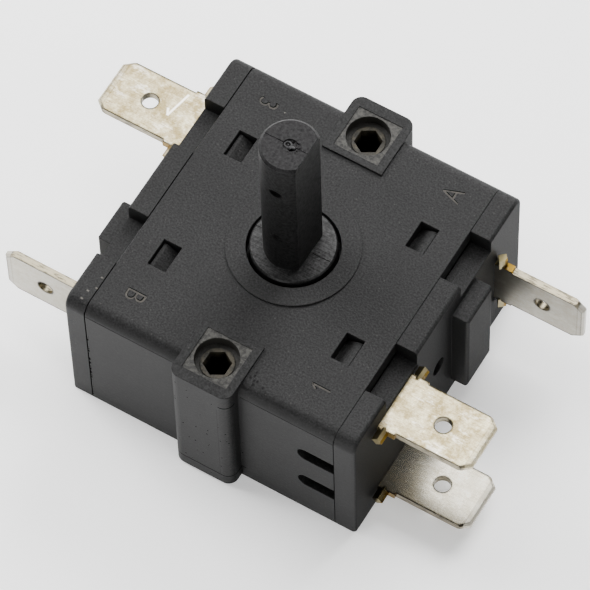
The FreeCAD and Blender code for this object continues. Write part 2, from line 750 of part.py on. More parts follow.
# Rotor: shaft, disc, two cam tiers, detent star and bottom pin, moulded in one.
def make_rotor():
    body = new_body("rotor")
    profile = new_sketch(body, "turned_outline", "XZ")
    pin_bottom = minus(STAR_BOTTOM, size("pin_length"))
    chamfer = size("shaft_chamfer")
    outline(profile, [
        ("0", pin_bottom),
        (size("pin_radius"), pin_bottom),
        (size("pin_radius"), STAR_BOTTOM),
        (size("journal_radius"), STAR_BOTTOM),
        (size("journal_radius"), minus(DISC_TOP, size("disc_chamfer"))),
        (minus(size("journal_radius"), size("disc_chamfer")), DISC_TOP),
        (size("shaft_radius"), DISC_TOP),
        (size("shaft_radius"), minus(SHAFT_TOP, chamfer)),
        (minus(size("shaft_radius"), chamfer), SHAFT_TOP),
        ("0", SHAFT_TOP),
    ])
    revolve(body, profile, "V_Axis")
    make_star(body)
    make_cam(body, "lower_cam", LOWER_CAM,
             [("0", "0"), (share(size("step_angle"), 2),) * 2, (size("step_angle"),) * 2])
    make_cam(body, "upper_cam", UPPER_CAM,
             [("(%d * %s)" % (2 * i, size("step_angle")),) * 2 for i in range(3)])
    lug = new_sketch(body, "stop_lug", offset=minus(CAM_TOP, "0.5"))
    ring_sector(lug, STOP_INNER, STOP_OUTER,
                minus(size("lug_centre"), share(size("lug_angle"), 2)),
                total(size("lug_centre"), share(size("lug_angle"), 2)))
    pad(body, lug, total(size("stop_height"), "0.5"))
    flat = new_sketch(body, "drive_flat", offset=total(SHAFT_TOP, "1"))
    rectangle(flat, minus(size("shaft_radius"), size("flat_depth")), total(size("shaft_radius"), "1"),
              negative(total(size("shaft_radius"), "1")), total(size("shaft_radius"), "1"))
    pocket(body, flat, minus(total(SHAFT_TOP, "1"), DISC_TOP))
    gate = new_sketch(body, "gate_mark", offset=SHAFT_TOP)
    circle(gate, "0", "0", size("gate_radius"))
    pocket(body, gate, size("gate_depth"))
    cut_dents(body)
    return body


def cut_dents(body):
    """Two shallow lens-shaped dents, one above the other, in the front of the shaft."""
    half = share(size("dent_width"), 2)
    bow = "((%s ^ 2 + %s ^ 2 / 4) / %s)" % (half, size("dent_height"), size("dent_height"))
    upper = minus(SHAFT_TOP, size("dent_drop"))
    dents = new_sketch(body, "dents", "XZ", offset=minus(size("shaft_radius"), size("dent_depth")))
    for height in (upper, minus(upper, size("dent_pitch"))):
        outline(dents, [(negative(half), height), (half, height)], {0: (bow, 1), 1: (bow, 1)})
    pocket(body, dents, total(size("dent_depth"), "1"), backwards=True)


def make_star(body):
    """The detent disc, with a notch at every step."""
    disc = new_sketch(body, "star_disc", offset=STAR_BOTTOM)
    circle(disc, "0", "0", size("star_radius"))
    pad(body, disc, size("star_thickness"))
    notch = new_sketch(body, "star_notch", offset=total(STAR_BOTTOM, size("star_thickness")))
    rim = "(%s * 1.1)" % size("star_radius")
    outline(notch, [
        polar(rim, negative(size("star_notch_half"))),
        polar(minus(size("star_radius"), size("star_notch_depth")), "0"),
        polar(rim, size("star_notch_half")),
    ])
    cut = pocket(body, notch, size("star_thickness"))
    pattern = body.newObject("PartDesign::PolarPattern", "star_notches")
    pattern.Originals = [cut]
    pattern.Axis = (notch, ["N_Axis"])
    pattern.Angle = 360
    pattern.setExpression("Occurrences", "floor(360 / %s)" % size("step_angle"))
    body.Tip = pattern
    DOC.recompute()


def make_cam(body, name, bottom, valleys):
    """A cam tier: a disc of the lobes' radius with a valley cut at each angle given."""
    disc = new_sketch(body, name, offset=bottom)
    circle(disc, "0", "0", size("cam_lobe"))
    pad(body, disc, size("cam_thickness"))
    for i, (first, last) in enumerate(valleys):
        valley = new_sketch(body, "%s_valley_%d" % (name, i), offset=total(bottom, size("cam_thickness")))
        start = minus(first, size("valley_half"))
        end = total(last, size("valley_half"))
        rim = "(%s * 1.1)" % size("cam_lobe")
        far = "(%s * 1.6)" % size("cam_lobe")
        outline(valley, [
            polar(rim, minus(start, size("cam_ramp"))),
            polar(CAM_VALLEY, start),
            polar(CAM_VALLEY, end),
            polar(rim, total(end, size("cam_ramp"))),
            polar(far, share(total(start, end), 2)),
        ], {1: (CAM_VALLEY, 1)})
        pocket(body, valley, size("cam_thickness"))


# Flat terminals: the blade lies flat, and its inner end is bent into an upright leg.
def make_flat_terminal(label, bottom, leg_end, half_turn=False):
    body = new_body(label, half_turn)
    upward = number(leg_end) > number(bottom)
    sheet = size("sheet")
    near_side, far_side = (bottom, total(bottom, sheet)) if upward else (total(bottom, sheet), bottom)
    inner_bend = size("bend_radius")
    sign = "1" if upward else "-1"
    way = -1 if upward else 1
    centre = negative(FLAT_TAB_CENTRE)

    def height(distance):
        """The height at a distance from the blade's outer side, towards the leg's end."""
        return total(near_side, "(%s * %s)" % (sign, distance))

    strip = new_sketch(body, label + "_strip", "XZ", offset=FLAT_TAB_CENTRE)
    outline(strip, [
        (total(HALF_LENGTH, "0.2"), near_side),
        (total(LEG_FACE, OUTER_BEND), near_side),
        (LEG_FACE, height(OUTER_BEND)),
        (LEG_FACE, leg_end),
        (LEG_BACK, leg_end),
        (LEG_BACK, height(OUTER_BEND)),
        (total(LEG_BACK, inner_bend), far_side),
        (total(HALF_LENGTH, "0.2"), far_side),
    ], {1: (OUTER_BEND, way), 5: (inner_bend, -way)})
    pad(body, strip, size("tab_width"), midplane=True)
    blade = new_sketch(body, label + "_blade", offset=bottom, shift=("0", centre))
    blade_outline(blade)
    pad(body, blade, sheet)
    ears(body, label, "XZ", total(bottom, share(sheet, 2)), FLAT_TAB_CENTRE)
    hole = new_sketch(body, label + "_hole", offset=total(bottom, sheet), shift=("0", centre))
    circle(hole, minus(TAB_REACH, size("tab_hole_inset")), "0", size("tab_hole_radius"))
    pocket(body, hole, sheet)
    contact_height = UPPER_CONTACT if not upward else LOWER_CONTACT
    seat = new_sketch(body, label + "_contact_seat", "YZ", offset=LEG_BACK)
    circle(seat, negative(CONTACT_Y), contact_height, total(size("shank_radius"), size("shank_gap")))
    pocket(body, seat, sheet)
    bevel_tip(body)
    return body


def blade_outline(sketch):
    """Neck, blade and cut tip corners, drawn about the blade's own middle line."""
    half = HALF_TAB
    neck_reach = total(HALF_LENGTH, size("neck_length"))
    cut = minus(half, size("tip_cut_width"))
    shoulder = minus(TAB_REACH, size("tip_cut_length"))
    upper = [
        (minus(HALF_LENGTH, "0.3"), HALF_NECK),
        (neck_reach, HALF_NECK),
        (neck_reach, half),
        (shoulder, half),
        (TAB_REACH, cut),
    ]
    lower = [(x, negative(y)) for x, y in reversed(upper)]
    outline(sketch, upper + lower)


def ears(body, label, plane, middle, side):
    """Two locking ears beside the neck, twisted out of the sheet's plane."""
    half_reach = "((%s * cos(%s) + %s * sin(%s)) / 2)" % (
        size("ear_length"), size("ear_turn"), size("sheet"), size("ear_turn"))
    reach = total(HALF_LENGTH, size("sheet_gap"), half_reach)
    for name, way in (("front", "1"), ("back", "-1")):
        place = total(side, "(%s * %s)" % (way, total(HALF_NECK, share(size("ear_width"), 2), "-0.2")))
        ear = new_sketch(body, "%s_ear_%s" % (label, name), plane, offset=place)
        corners = []
        for along, across in ((1, 1), (-1, 1), (-1, -1), (1, -1)):
            a = "(%d * %s / 2)" % (along, size("ear_length"))
            c = "(%d * %s / 2)" % (across, size("sheet"))
            x = "(%s * cos(%s) - %s * sin(%s))" % (a, size("ear_turn"), c, size("ear_turn"))
            z = "(%s * sin(%s) + %s * cos(%s))" % (a, size("ear_turn"), c, size("ear_turn"))
            corners.append((total(reach, x), total(middle, z)))
        outline(ear, corners)
        pad(body, ear, total(size("ear_width"), "0.2"), midplane=True)


def bevel_tip(body):
    """The bevel round a blade's tip, which leads it into its receptacle."""
    tip = number(minus(TAB_REACH, size("tip_cut_length"))) - 1e-3

    def tip_edge(edge):
        box = edge.BoundBox
        thin = min(box.YLength, box.ZLength) < 1e-4
        return box.XMin > tip and thin and edge.Length > number(size("sheet")) + 0.05

    dress(body, "Chamfer", body.Label + "_bevel", size("tab_bevel"), tip_edge)


# Edge terminals: the blade stands on edge, and its inner end turns towards the front.
def make_edge_terminal(label, half_turn=False):
    body = new_body(label, half_turn)
    sheet = size("sheet")
    face = EDGE_TAB_FACE
    back = EDGE_TAB_BACK
    inner_bend = size("bend_radius")
    leg_back = total(LEAF_BACK, sheet)
    leg_end = ROOT_LEG_END
    height = MIDDLE_HEIGHT
    strip = new_sketch(body, label + "_strip", offset=minus(height, HALF_TAB))
    outline(strip, [
        (total(HALF_LENGTH, "0.2"), back),
        (total(LEAF_BACK, OUTER_BEND), back),
        (LEAF_BACK, minus(back, OUTER_BEND)),
        (LEAF_BACK, leg_end),
        (leg_back, leg_end),
        (leg_back, minus(back, OUTER_BEND)),
        (total(leg_back, inner_bend), face),
        (total(HALF_LENGTH, "0.2"), face),
    ], {1: (OUTER_BEND, 1), 5: (inner_bend, -1)})
    pad(body, strip, size("tab_width"))
    leg_bottom = minus(LOWER_CONTACT, size("root_leg_margin"))
    leg_top = total(UPPER_CONTACT, size("root_leg_margin"))
    leg = new_sketch(body, label + "_leg", offset=leg_bottom)
    rectangle(leg, LEAF_BACK, leg_back, leg_end, minus(back, OUTER_BEND))
    pad(body, leg, minus(leg_top, leg_bottom))
    blade = new_sketch(body, label + "_blade", "XZ", offset=negative(face), shift=("0", height))
    blade_outline(blade)
    pad(body, blade, sheet, backwards=True)
    ears(body, label, "XY", total(face, share(sheet, 2)), height)
    hole = new_sketch(body, label + "_hole", "XZ", offset=negative(face), shift=("0", height))
    circle(hole, minus(TAB_REACH, size("tab_hole_inset")), "0", size("tab_hole_radius"))
    pocket(body, hole, sheet)
    seats = new_sketch(body, label + "_rivet_seats", "YZ", offset=leg_back)
    for level in (UPPER_CONTACT, LOWER_CONTACT):
        circle(seats, RIVET_Y, level, total(size("shank_radius"), size("shank_gap")))
    pocket(body, seats, sheet)
    bevel_tip(body)
    return body


# Contact springs: a flat strip with a bent follower that rides on the cam.
def make_leaf(label, level, half_turn=False):
    body = new_body(label, half_turn)
    strip = new_sketch(body, label + "_strip", offset=minus(level, share(size("leaf_width"), 2)))
    face = LEAF_FACE
    free_end = negative(total(CONTACT_Y, size("leaf_margin")))
    held_end = total(RIVET_Y, size("leaf_margin"))
    tip = total(CAM_VALLEY, size("follower_gap"))
    half = size("bump_half")
    outline(strip, [
        (face, free_end),
        (LEAF_BACK, free_end),
        (LEAF_BACK, negative(half)),
        (total(tip, size("leaf_thickness")), "-0.1"),
        (total(tip, size("leaf_thickness")), "0.1"),
        (LEAF_BACK, half),
        (LEAF_BACK, held_end),
        (face, held_end),
        (face, total(half, "0.05")),
        (tip, "0.25"),
        (tip, "-0.25"),
        (face, negative(total(half, "0.05"))),
    ])
    pad(body, strip, size("leaf_width"))
    seats = new_sketch(body, label + "_seats", "YZ", offset=LEAF_BACK)
    for y in (RIVET_Y, negative(CONTACT_Y)):
        circle(seats, y, level, total(size("shank_radius"), size("shank_gap")))
    pocket(body, seats, size("leaf_thickness"))
    return body


def turned_along_x(label, y, level, steps, half_turn=False, keep=True):
    """A rivet or contact, from its steps: each a start, an end and a radius along X."""
    body = new_body(label, half_turn)
    if not keep:
        NODES.remove(body)
    profile = new_sketch(body, label + "_profile", offset=level, shift=("0", y))
    points = [(steps[0][0], "0")]
    for start, end, radius in steps:
        points += [(start, radius), (end, radius)]
    points.append((steps[-1][1], "0"))
    outline(profile, points)
    revolve(body, profile, "H_Axis")
    return body


def make_contacts(number_label, level, half_turn=False):
    """A silver pair: one riveted in the spring, one in the terminal's leg."""
    y = negative(CONTACT_Y)
    turned_along_x("moving_contact_" + number_label, y, level, [
        (minus(LEAF_FACE, size("contact_tail")), LEAF_FACE, size("contact_tail_radius")),
        (LEAF_FACE, LEAF_BACK, size("shank_radius")),
        (LEAF_BACK, MOVING_FACE, size("contact_radius")),
    ], half_turn)
    turned_along_x("fixed_contact_" + number_label, y, level, [
        (FIXED_FACE, LEG_FACE, size("contact_radius")),
        (LEG_FACE, LEG_BACK, size("shank_radius")),
    ], half_turn)


def make_leaf_rivets():
    """The three rivets that hold the springs to their terminals, kept as one group."""
    leg_back = total(LEAF_BACK, size("sheet"))
    rivets = []
    for label, level, half_turn in (("rivet_upper", UPPER_CONTACT, False),
                                    ("rivet_lower", LOWER_CONTACT, False),
                                    ("rivet_turned", UPPER_CONTACT, True)):
        rivets.append(turned_along_x(label, RIVET_Y, level, [
            (minus(LEAF_FACE, size("rivet_head")), LEAF_FACE, size("rivet_head_radius")),
            (LEAF_FACE, leg_back, size("shank_radius")),
            (leg_back, total(leg_back, size("contact_tail")), size("contact_tail_radius")),
        ], half_turn, keep=False))
    group = DOC.addObject("Part::Compound", "leaf_rivets")
    group.Label = "leaf_rivets"
    group.Links = rivets
    NODES.append(group)
    DOC.recompute()
    return group


# Detent: a plunger on each side of the star, pushed by a coil spring.
def make_plunger(label, half_turn=False):
    body = new_body(label, half_turn)
    half = share(size("plunger_width"), 2)
    tip = negative(PLUNGER_TIP)
    nose = negative(total(PLUNGER_TIP, size("plunger_nose")))
    back = negative(PLUNGER_BACK)
    block = new_sketch(body, label + "_outline", offset=PLUNGER_BOTTOM)
    outline(block, [
        (size("nose_tip_half"), tip),
        (negative(size("nose_tip_half")), tip),
        (negative(size("nose_base_half")), nose),
        (negative(half), nose),
        (negative(half), back),
        (half, back),
        (half, nose),
        (size("nose_base_half"), nose),
    ])
    pad(body, block, size("plunger_height"))
    seat = new_sketch(body, label + "_seat", "XZ", offset=PLUNGER_BACK)
    circle(seat, "0", SPRING_HEIGHT,
           total(size("spring_radius"), share(size("spring_wire"), 2), size("spring_seat_gap")))
    pocket(body, seat, size("spring_seat_depth"))
    return body


def make_spring(label, half_turn=False):
    """A coil spring along Y. Its wire has few sides, because it is so thin."""
    body = new_body(label, half_turn)
    end = negative(minus(SPRING_END, share(size("spring_wire"), 2)))
    section = new_sketch(body, label + "_wire", offset=SPRING_HEIGHT)
    corner = share(size("spring_wire"), 2)
    sides = int(SIZES["spring_wire_sides"])
    corners = [polar(corner, str(360 * i / sides)) for i in range(sides)]
    outline(section, [(total(size("spring_radius"), x), total(end, y)) for x, y in corners])
    DOC.recompute()
    coil = body.newObject("PartDesign::AdditiveHelix", label + "_coil")
    coil.Profile = section
    coil.ReferenceAxis = (section, ["V_Axis"])
    coil.Mode = "pitch-height-angle"
    coil.setExpression("Pitch", size("spring_pitch"))
    coil.setExpression("Height", minus(size("spring_length"), size("spring_wire")))
    DOC.recompute()
    return body


def build():
    fill_sheet()
    make_base()
    make_cover()
    make_rotor()
    upper_leg_end = minus(UPPER_CONTACT, size("contact_radius"), size("leg_margin"))
    lower_leg_end = total(LOWER_CONTACT, size("contact_radius"), size("leg_margin"))
    make_flat_terminal("terminal_1", UPPER_TAB_BOTTOM, upper_leg_end)
    make_flat_terminal("terminal_2", LOWER_TAB_BOTTOM, lower_leg_end)
    make_flat_terminal("terminal_3", UPPER_TAB_BOTTOM, upper_leg_end, half_turn=True)
    make_edge_terminal("terminal_a")
    make_edge_terminal("terminal_b", half_turn=True)
    make_leaf("contact_spring_1", UPPER_CONTACT)
    make_leaf("contact_spring_2", LOWER_CONTACT)
    make_leaf("contact_spring_3", UPPER_CONTACT, half_turn=True)
    make_contacts("1", UPPER_CONTACT)
    make_contacts("2", LOWER_CONTACT)
    make_contacts("3", UPPER_CONTACT, half_turn=True)
    make_leaf_rivets()
    make_plunger("detent_plunger_front")
    make_plunger("detent_plunger_back", half_turn=True)
    make_spring("detent_spring_front")
    make_spring("detent_spring_back", half_turn=True)
    DOC.recompute()


def check():
    for item in DOC.Objects:
        if "Invalid" in item.State or "Error" in item.State:
            raise RuntimeError("%s failed: %s" % (item.Name, item.State))
    for node in NODES:
        if node.Shape.isNull() or not node.Shape.isValid():
            raise RuntimeError("%s has no valid shape" % node.Label)


def export():
    os.makedirs("parts", exist_ok=True)
    for node in NODES:
        node.Shape.exportStep("parts/%s.step" % node.Label)
        print("%-22s %2d solids %10.3f mm3" % (node.Label, len(node.Shape.Solids), node.Shape.Volume))


build()
check()
export()
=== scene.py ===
import math

import bpy
from mathutils import Matrix, Vector


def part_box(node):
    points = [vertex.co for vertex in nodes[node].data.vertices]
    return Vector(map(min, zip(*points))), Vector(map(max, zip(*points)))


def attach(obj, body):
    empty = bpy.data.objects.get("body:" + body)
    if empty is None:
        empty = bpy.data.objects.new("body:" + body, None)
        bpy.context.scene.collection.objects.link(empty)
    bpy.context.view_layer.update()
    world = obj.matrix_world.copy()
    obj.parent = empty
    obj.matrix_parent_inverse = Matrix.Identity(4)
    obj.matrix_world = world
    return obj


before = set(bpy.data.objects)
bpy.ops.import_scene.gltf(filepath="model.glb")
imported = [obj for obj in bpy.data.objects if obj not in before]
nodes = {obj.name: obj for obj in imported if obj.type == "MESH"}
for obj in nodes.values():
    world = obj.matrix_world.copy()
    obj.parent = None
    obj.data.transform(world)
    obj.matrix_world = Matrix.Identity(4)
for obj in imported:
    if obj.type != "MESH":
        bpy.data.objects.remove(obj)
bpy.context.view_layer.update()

mm = 0.001


def edgeOf(name, axis, side):
    # where a node ends along an axis, in millimetres
    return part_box(name)[side][axis] / mm


# places on the solids that the pieces and materials below go by
bossReach = 1.85  # how far a screw boss stands out from the side wall
halfPitch = 14.45  # from the shaft to a screw
halfWidth = edgeOf("cover", 1, 1) - bossReach
halfCover = edgeOf("cover", 0, 1)
plateTop = edgeOf("base", 2, 1)
shaftTop = edgeOf("rotor", 2, 1)
print("solids loaded, plate at", round(plateTop, 2), "shaft to", round(shaftTop, 2))


def linear(hexColour):
    # sRGB hex to the linear colour that the shaders want
    parts = [int(hexColour[i:i + 2], 16) / 255 for i in (1, 3, 5)]
    return tuple(c / 12.92 if c <= 0.04045 else ((c + 0.055) / 1.055) ** 2.4 for c in parts) + (1.0,)


def feed(node, inputs):
    # fills a node's inputs, by name or in their order, with values, hex colours, sockets or other
    # nodes, of which the first output in use is taken
    pairs = inputs.items() if isinstance(inputs, dict) else enumerate(inputs)
    for place, value in pairs:
        if isinstance(value, bpy.types.Node):
            value = next(output for output in value.outputs if output.enabled)
        if isinstance(value, bpy.types.NodeSocket):
            node.id_data.links.new(value, node.inputs[place])
        elif isinstance(value, str):
            node.inputs[place].default_value = linear(value)
        else:
            node.inputs[place].default_value = value


def addNode(tree, kind, inputs=(), **settings):
    # settings are the node's own properties
    node = tree.nodes.new("ShaderNode" + kind)
    for name, value in settings.items():
        setattr(node, name, value)
    feed(node, inputs)
    return node


def newMaterial(name):
    material = bpy.data.materials.new(name)
    material.use_nodes = True
    tree = material.node_tree
    tree.nodes.clear()
    surface = addNode(tree, "BsdfPrincipled")
    addNode(tree, "OutputMaterial", {"Surface": surface})
    return material, surface


def placeMm(tree):
    # the place on the piece, in millimetres
    place = addNode(tree, "TexCoord").outputs["Object"]
    return addNode(tree, "Mapping", {"Vector": place, "Scale": (1 / mm, 1 / mm, 1 / mm)})


def facing(tree, axis, low=0.6, high=0.9):
    # 1 where a face looks along an axis, either way
    split = addNode(tree, "SeparateXYZ", [addNode(tree, "TexCoord").outputs["Normal"]])
    size = addNode(tree, "Math", [split.outputs[axis]], operation="ABSOLUTE")
    return addNode(tree, "MapRange", (size, low, high))


def allOf(tree, *masks):
    # as much as all the masks or shares let through together
    shown = masks[0]
    for mask in masks[1:]:
        shown = addNode(tree, "Math", (shown, mask), operation="MULTIPLY")
    return shown


def anyOf(tree, *masks):
    # the strongest of the masks
    shown = masks[0]
    for mask in masks[1:]:
        shown = addNode(tree, "Math", (shown, mask), operation="MAXIMUM")
    return shown


def layOver(tree, under, over, *masks):
    # lays a colour over another where the masks let it through
    return addNode(tree, "Mix", {0: allOf(tree, *masks), 6: under, 7: over}, data_type="RGBA")


def insideBox(tree, at, middle, half, blur):
    # 1 inside a box given by its middle and half sizes in millimetres, 0 outside
    off = addNode(tree, "VectorMath", (at, middle), operation="SUBTRACT")
    away = addNode(tree, "VectorMath", [off], operation="ABSOLUTE")
    past = addNode(tree, "VectorMath", (away, half), operation="SUBTRACT")
    most = anyOf(tree, *addNode(tree, "SeparateXYZ", [past]).outputs)
    return addNode(tree, "MapRange", (most, -blur, blur, 1.0, 0.0))


def patches(tree, at, sizeMm, low, high, least=0.0, most=1.0, detail=3.0, roughness=0.6):
    # soft irregular patches: the noise from low to high is spread between least and most
    cloud = addNode(tree, "TexNoise", {
        "Vector": at, "Scale": 1 / sizeMm, "Detail": detail, "Roughness": roughness})
    return addNode(tree, "MapRange", (cloud, low, high, least, most))


def dots(tree, at, spacingMm, radiusMm, share):
    # scattered round dots: a share of the cells have one
    cells = addNode(tree, "TexVoronoi", {"Vector": at, "Scale": 1 / spacingMm})
    split = addNode(tree, "SeparateColor", [cells.outputs["Color"]])
    radius = radiusMm / spacingMm
    near = addNode(tree, "MapRange", (cells.outputs["Distance"], radius / 2, radius, 1.0, 0.0))
    chosen = addNode(tree, "Math", (split.outputs["Red"], share), operation="LESS_THAN")
    return allOf(tree, near, chosen)


def relief(tree, height, depthMm, strength, edgeMm):
    # fine relief over a surface whose sharp edges look slightly rounded
    soft = addNode(tree, "Bevel", {"Radius": edgeMm * mm}, samples=6)
    return addNode(tree, "Bump", {
        "Strength": strength, "Distance": depthMm * mm, "Height": height, "Normal": soft})


# Black glass-filled PBT from a spark-eroded tool: matt speckled grain on the top, plainer drawn
# walls, small pits on the bosses, dark seams, a paler patch round each screw hole and dust. Painted light
# lightens the faces towards the ends, the screw bores and the lip round each pilot hole, and painted shade
# darkens small steps on the front boss.
pbt = {
    # the end tone is painted light on the faces towards the ends; the bore and ring tones are painted light
    # inside the screw bores and a painted highlight on the lip round each pilot hole
    "tone": "#0b0b0b", "cloud": "#101010", "endLitTone": "#151515", "line": "#010101", "glass": "#2a2927",
    "worn": "#3b3a37", "boreLight": "#262522", "ring": "#3c382e", "dust": "#6d6a63",
    "ior": 1.5, "topRough": 0.6, "wallRough": 0.5, "topGloss": (0.16, 0.25), "wallGloss": 0.135,
    "endGloss": 0.03, "edgeMm": 0.1, "blurMm": 0.03,
    # the grain: its size and depth, how far it lightens the tone, and what the walls have of it
    "grainMm": 0.2, "grainDepthMm": 0.03, "grainSpan": (0.35, 0.7), "speckle": (0.45, 1.7), "wallGrain": 0.35,
    "clouds": dict(sizeMm=6.0, low=0.35, high=0.65, detail=4.0),
    # dots: their spacing, radius and the share of places that have one
    "glassDots": (0.5, 0.1, 0.22), "pitDots": (0.7, 0.12, 0.4), "dustDots": (2.2, 0.07, 0.2),
    "glassShown": 0.7,
    # boxes mirrored to four corners: middle, half size and, but for the seams, blur
    "seams": [((halfCover + 0.03, halfWidth, 8.4), (0.05, 0.3, 8.6)),
              ((0, halfWidth + bossReach, 1.8), (3.9, 1.9, 0.06))],
    "bossBox": ((0, halfWidth + bossReach, 9.0), (3.9, 1.9, 9.0), 0.05),
    "wornBox": ((0, halfPitch, plateTop + 0.2), (2.5, 2.5, 0.15), 0.03),
    "rubbed": dict(sizeMm=0.35, low=0.4, high=0.6, least=0.25, detail=5.0),
    # the screw bores, lightened with painted light: middle, half size and blur, and how much
    "boreBox": ((0, halfPitch, plateTop - 0.5), (2.35, 2.35, 0.55), 0.05), "boreShown": 0.7,
    # the painted highlight on the lip round each pilot hole: place, and from where to where it fades
    "ringPlace": (0, halfPitch, plateTop - 0.84), "ringSpan": (1.62, 1.77),
    "scallops": dict(sizeMm=0.8, low=0.4, high=0.6, least=0.2),
    # painted shade along small steps on the front of the front boss: middle, half size and how dark
    "bossStepShade": [((2.05, -halfWidth - bossReach, 8.7), (0.035, 0.2, 6.7), 0.35),
                ((3.0, -halfWidth - bossReach, 16.0), (0.8, 1.2, 0.07), 1.0)],
    # small scuffs beside the front boss: places, half size and blur, and how dark
    "scuffs": [(4.42, -15.10), (5.46, -14.97), (4.10, -14.18), (4.60, -14.63), (4.31, -14.69),
               (4.08, -13.77), (3.84, -14.54)],
    "scuffSize": ((0.1, 0.14, 0.1), 0.06), "scuffDark": 0.6,
    # the ragged edge of the front left seam
    "ragged": ((-halfCover, -halfWidth, 6.5), (0.22, 0.3, 6.2), 0.03),
    "chips": dict(sizeMm=0.45, low=0.5, high=0.55, detail=4.0),
    # torn flecks near the left end: places, half size and blur
    "flecks": [(-14.37, -12.36), (-14.92, -15.26), (-14.22, -13.63), (-14.83, -14.28)],
    "fleckSize": ((0.12, 0.07, 0.1), 0.05),
}


def markCover(tree, at, mirrored, colour):
    # what only the cover has: rubbed patches round the screws, painted light inside the screw bores, a
    # painted highlight on the lip round each pilot hole, and dark lines, some of them painted shade along
    # small steps
    worn = insideBox(tree, mirrored, *pbt["wornBox"])
    colour = layOver(tree, colour, pbt["worn"], worn, patches(tree, at, **pbt["rubbed"]))
    # painted light: a lighter tone inside the screw bores
    bore = insideBox(tree, mirrored, *pbt["boreBox"])
    colour = layOver(tree, colour, pbt["boreLight"], bore, pbt["boreShown"])
    # painted highlight on the lip round each pilot hole, broken into scallops
    off = addNode(tree, "VectorMath", (mirrored, pbt["ringPlace"]), operation="DISTANCE")
    ring = addNode(tree, "MapRange", (off, *pbt["ringSpan"], 1.0, 0.0))
    colour = layOver(tree, colour, pbt["ring"], ring, patches(tree, at, **pbt["scallops"]))
    lines = [allOf(tree, insideBox(tree, at, *pbt["ragged"]), patches(tree, at, **pbt["chips"]))]
    # painted shade along small steps in the front boss
    for middle, half, depth in pbt["bossStepShade"]:
        lines.append(allOf(tree, insideBox(tree, at, middle, half, pbt["blurMm"]), depth))
    for x, y in pbt["scuffs"]:
        scuff = insideBox(tree, at, (x, y, plateTop), *pbt["scuffSize"])
        lines.append(allOf(tree, scuff, pbt["scuffDark"]))
    return colour, lines


def mouldedPbt(name, isCover):
    material, surface = newMaterial(name)
    tree = material.node_tree
    at = placeMm(tree)
    mirrored = addNode(tree, "VectorMath", [at], operation="ABSOLUTE")
    up = facing(tree, "Z")
    aside = addNode(tree, "Math", (1.0, up), operation="SUBTRACT")
    endwards = facing(tree, "X")
    grain = addNode(tree, "TexNoise", {
        "Vector": at, "Scale": 1 / pbt["grainMm"], "Detail": 2.0, "Roughness": 0.6})
    colour = layOver(tree, pbt["tone"], pbt["cloud"], patches(tree, at, **pbt["clouds"]))
    # painted light: the faces towards the ends get a lighter tone
    colour = layOver(tree, colour, pbt["endLitTone"], endwards)
    speckle = addNode(tree, "MapRange", (grain, *pbt["grainSpan"], *pbt["speckle"]))
    colour = addNode(tree, "HueSaturation", {"Color": colour, "Value": speckle})
    colour = layOver(tree, colour, pbt["glass"], dots(tree, at, *pbt["glassDots"]), pbt["glassShown"])
    pits = allOf(tree, dots(tree, at, *pbt["pitDots"]), aside, insideBox(tree, mirrored, *pbt["bossBox"]))
    lines = [insideBox(tree, mirrored, *seam, pbt["blurMm"]) for seam in pbt["seams"]]
    if isCover:
        colour, coverLines = markCover(tree, at, mirrored, colour)
        lines += coverLines
    else:
        for x, y in pbt["flecks"]:
            fleck = insideBox(tree, at, (x, y, plateTop), *pbt["fleckSize"])
            colour = layOver(tree, colour, pbt["dust"], fleck, grain)
    colour = layOver(tree, colour, pbt["dust"], dots(tree, at, *pbt["dustDots"]), up)
    dark = anyOf(tree, pits, *lines)
    lit = addNode(tree, "Math", (1.0, dark), operation="SUBTRACT")
    topGloss = addNode(tree, "MapRange", (grain, *pbt["grainSpan"], *pbt["topGloss"]))
    wallGloss = addNode(tree, "MapRange", (endwards, 0.0, 1.0, pbt["wallGloss"], pbt["endGloss"]))
    gloss = addNode(tree, "Mix", {0: up, 2: wallGloss, 3: topGloss})
    share = addNode(tree, "MapRange", (up, 0.0, 1.0, pbt["wallGrain"], 1.0))
    height = addNode(tree, "Math", (allOf(tree, grain, share), pits), operation="SUBTRACT")
    feed(surface, {
        "Base Color": layOver(tree, colour, pbt["line"], dark),
        "Specular IOR Level": allOf(tree, gloss, lit),
        "Roughness": addNode(tree, "MapRange", (up, 0.0, 1.0, pbt["wallRough"], pbt["topRough"])),
        "Normal": relief(tree, height, pbt["grainDepthMm"], 1.0, pbt["edgeMm"]),
        "IOR": pbt["ior"],
    })
    return material


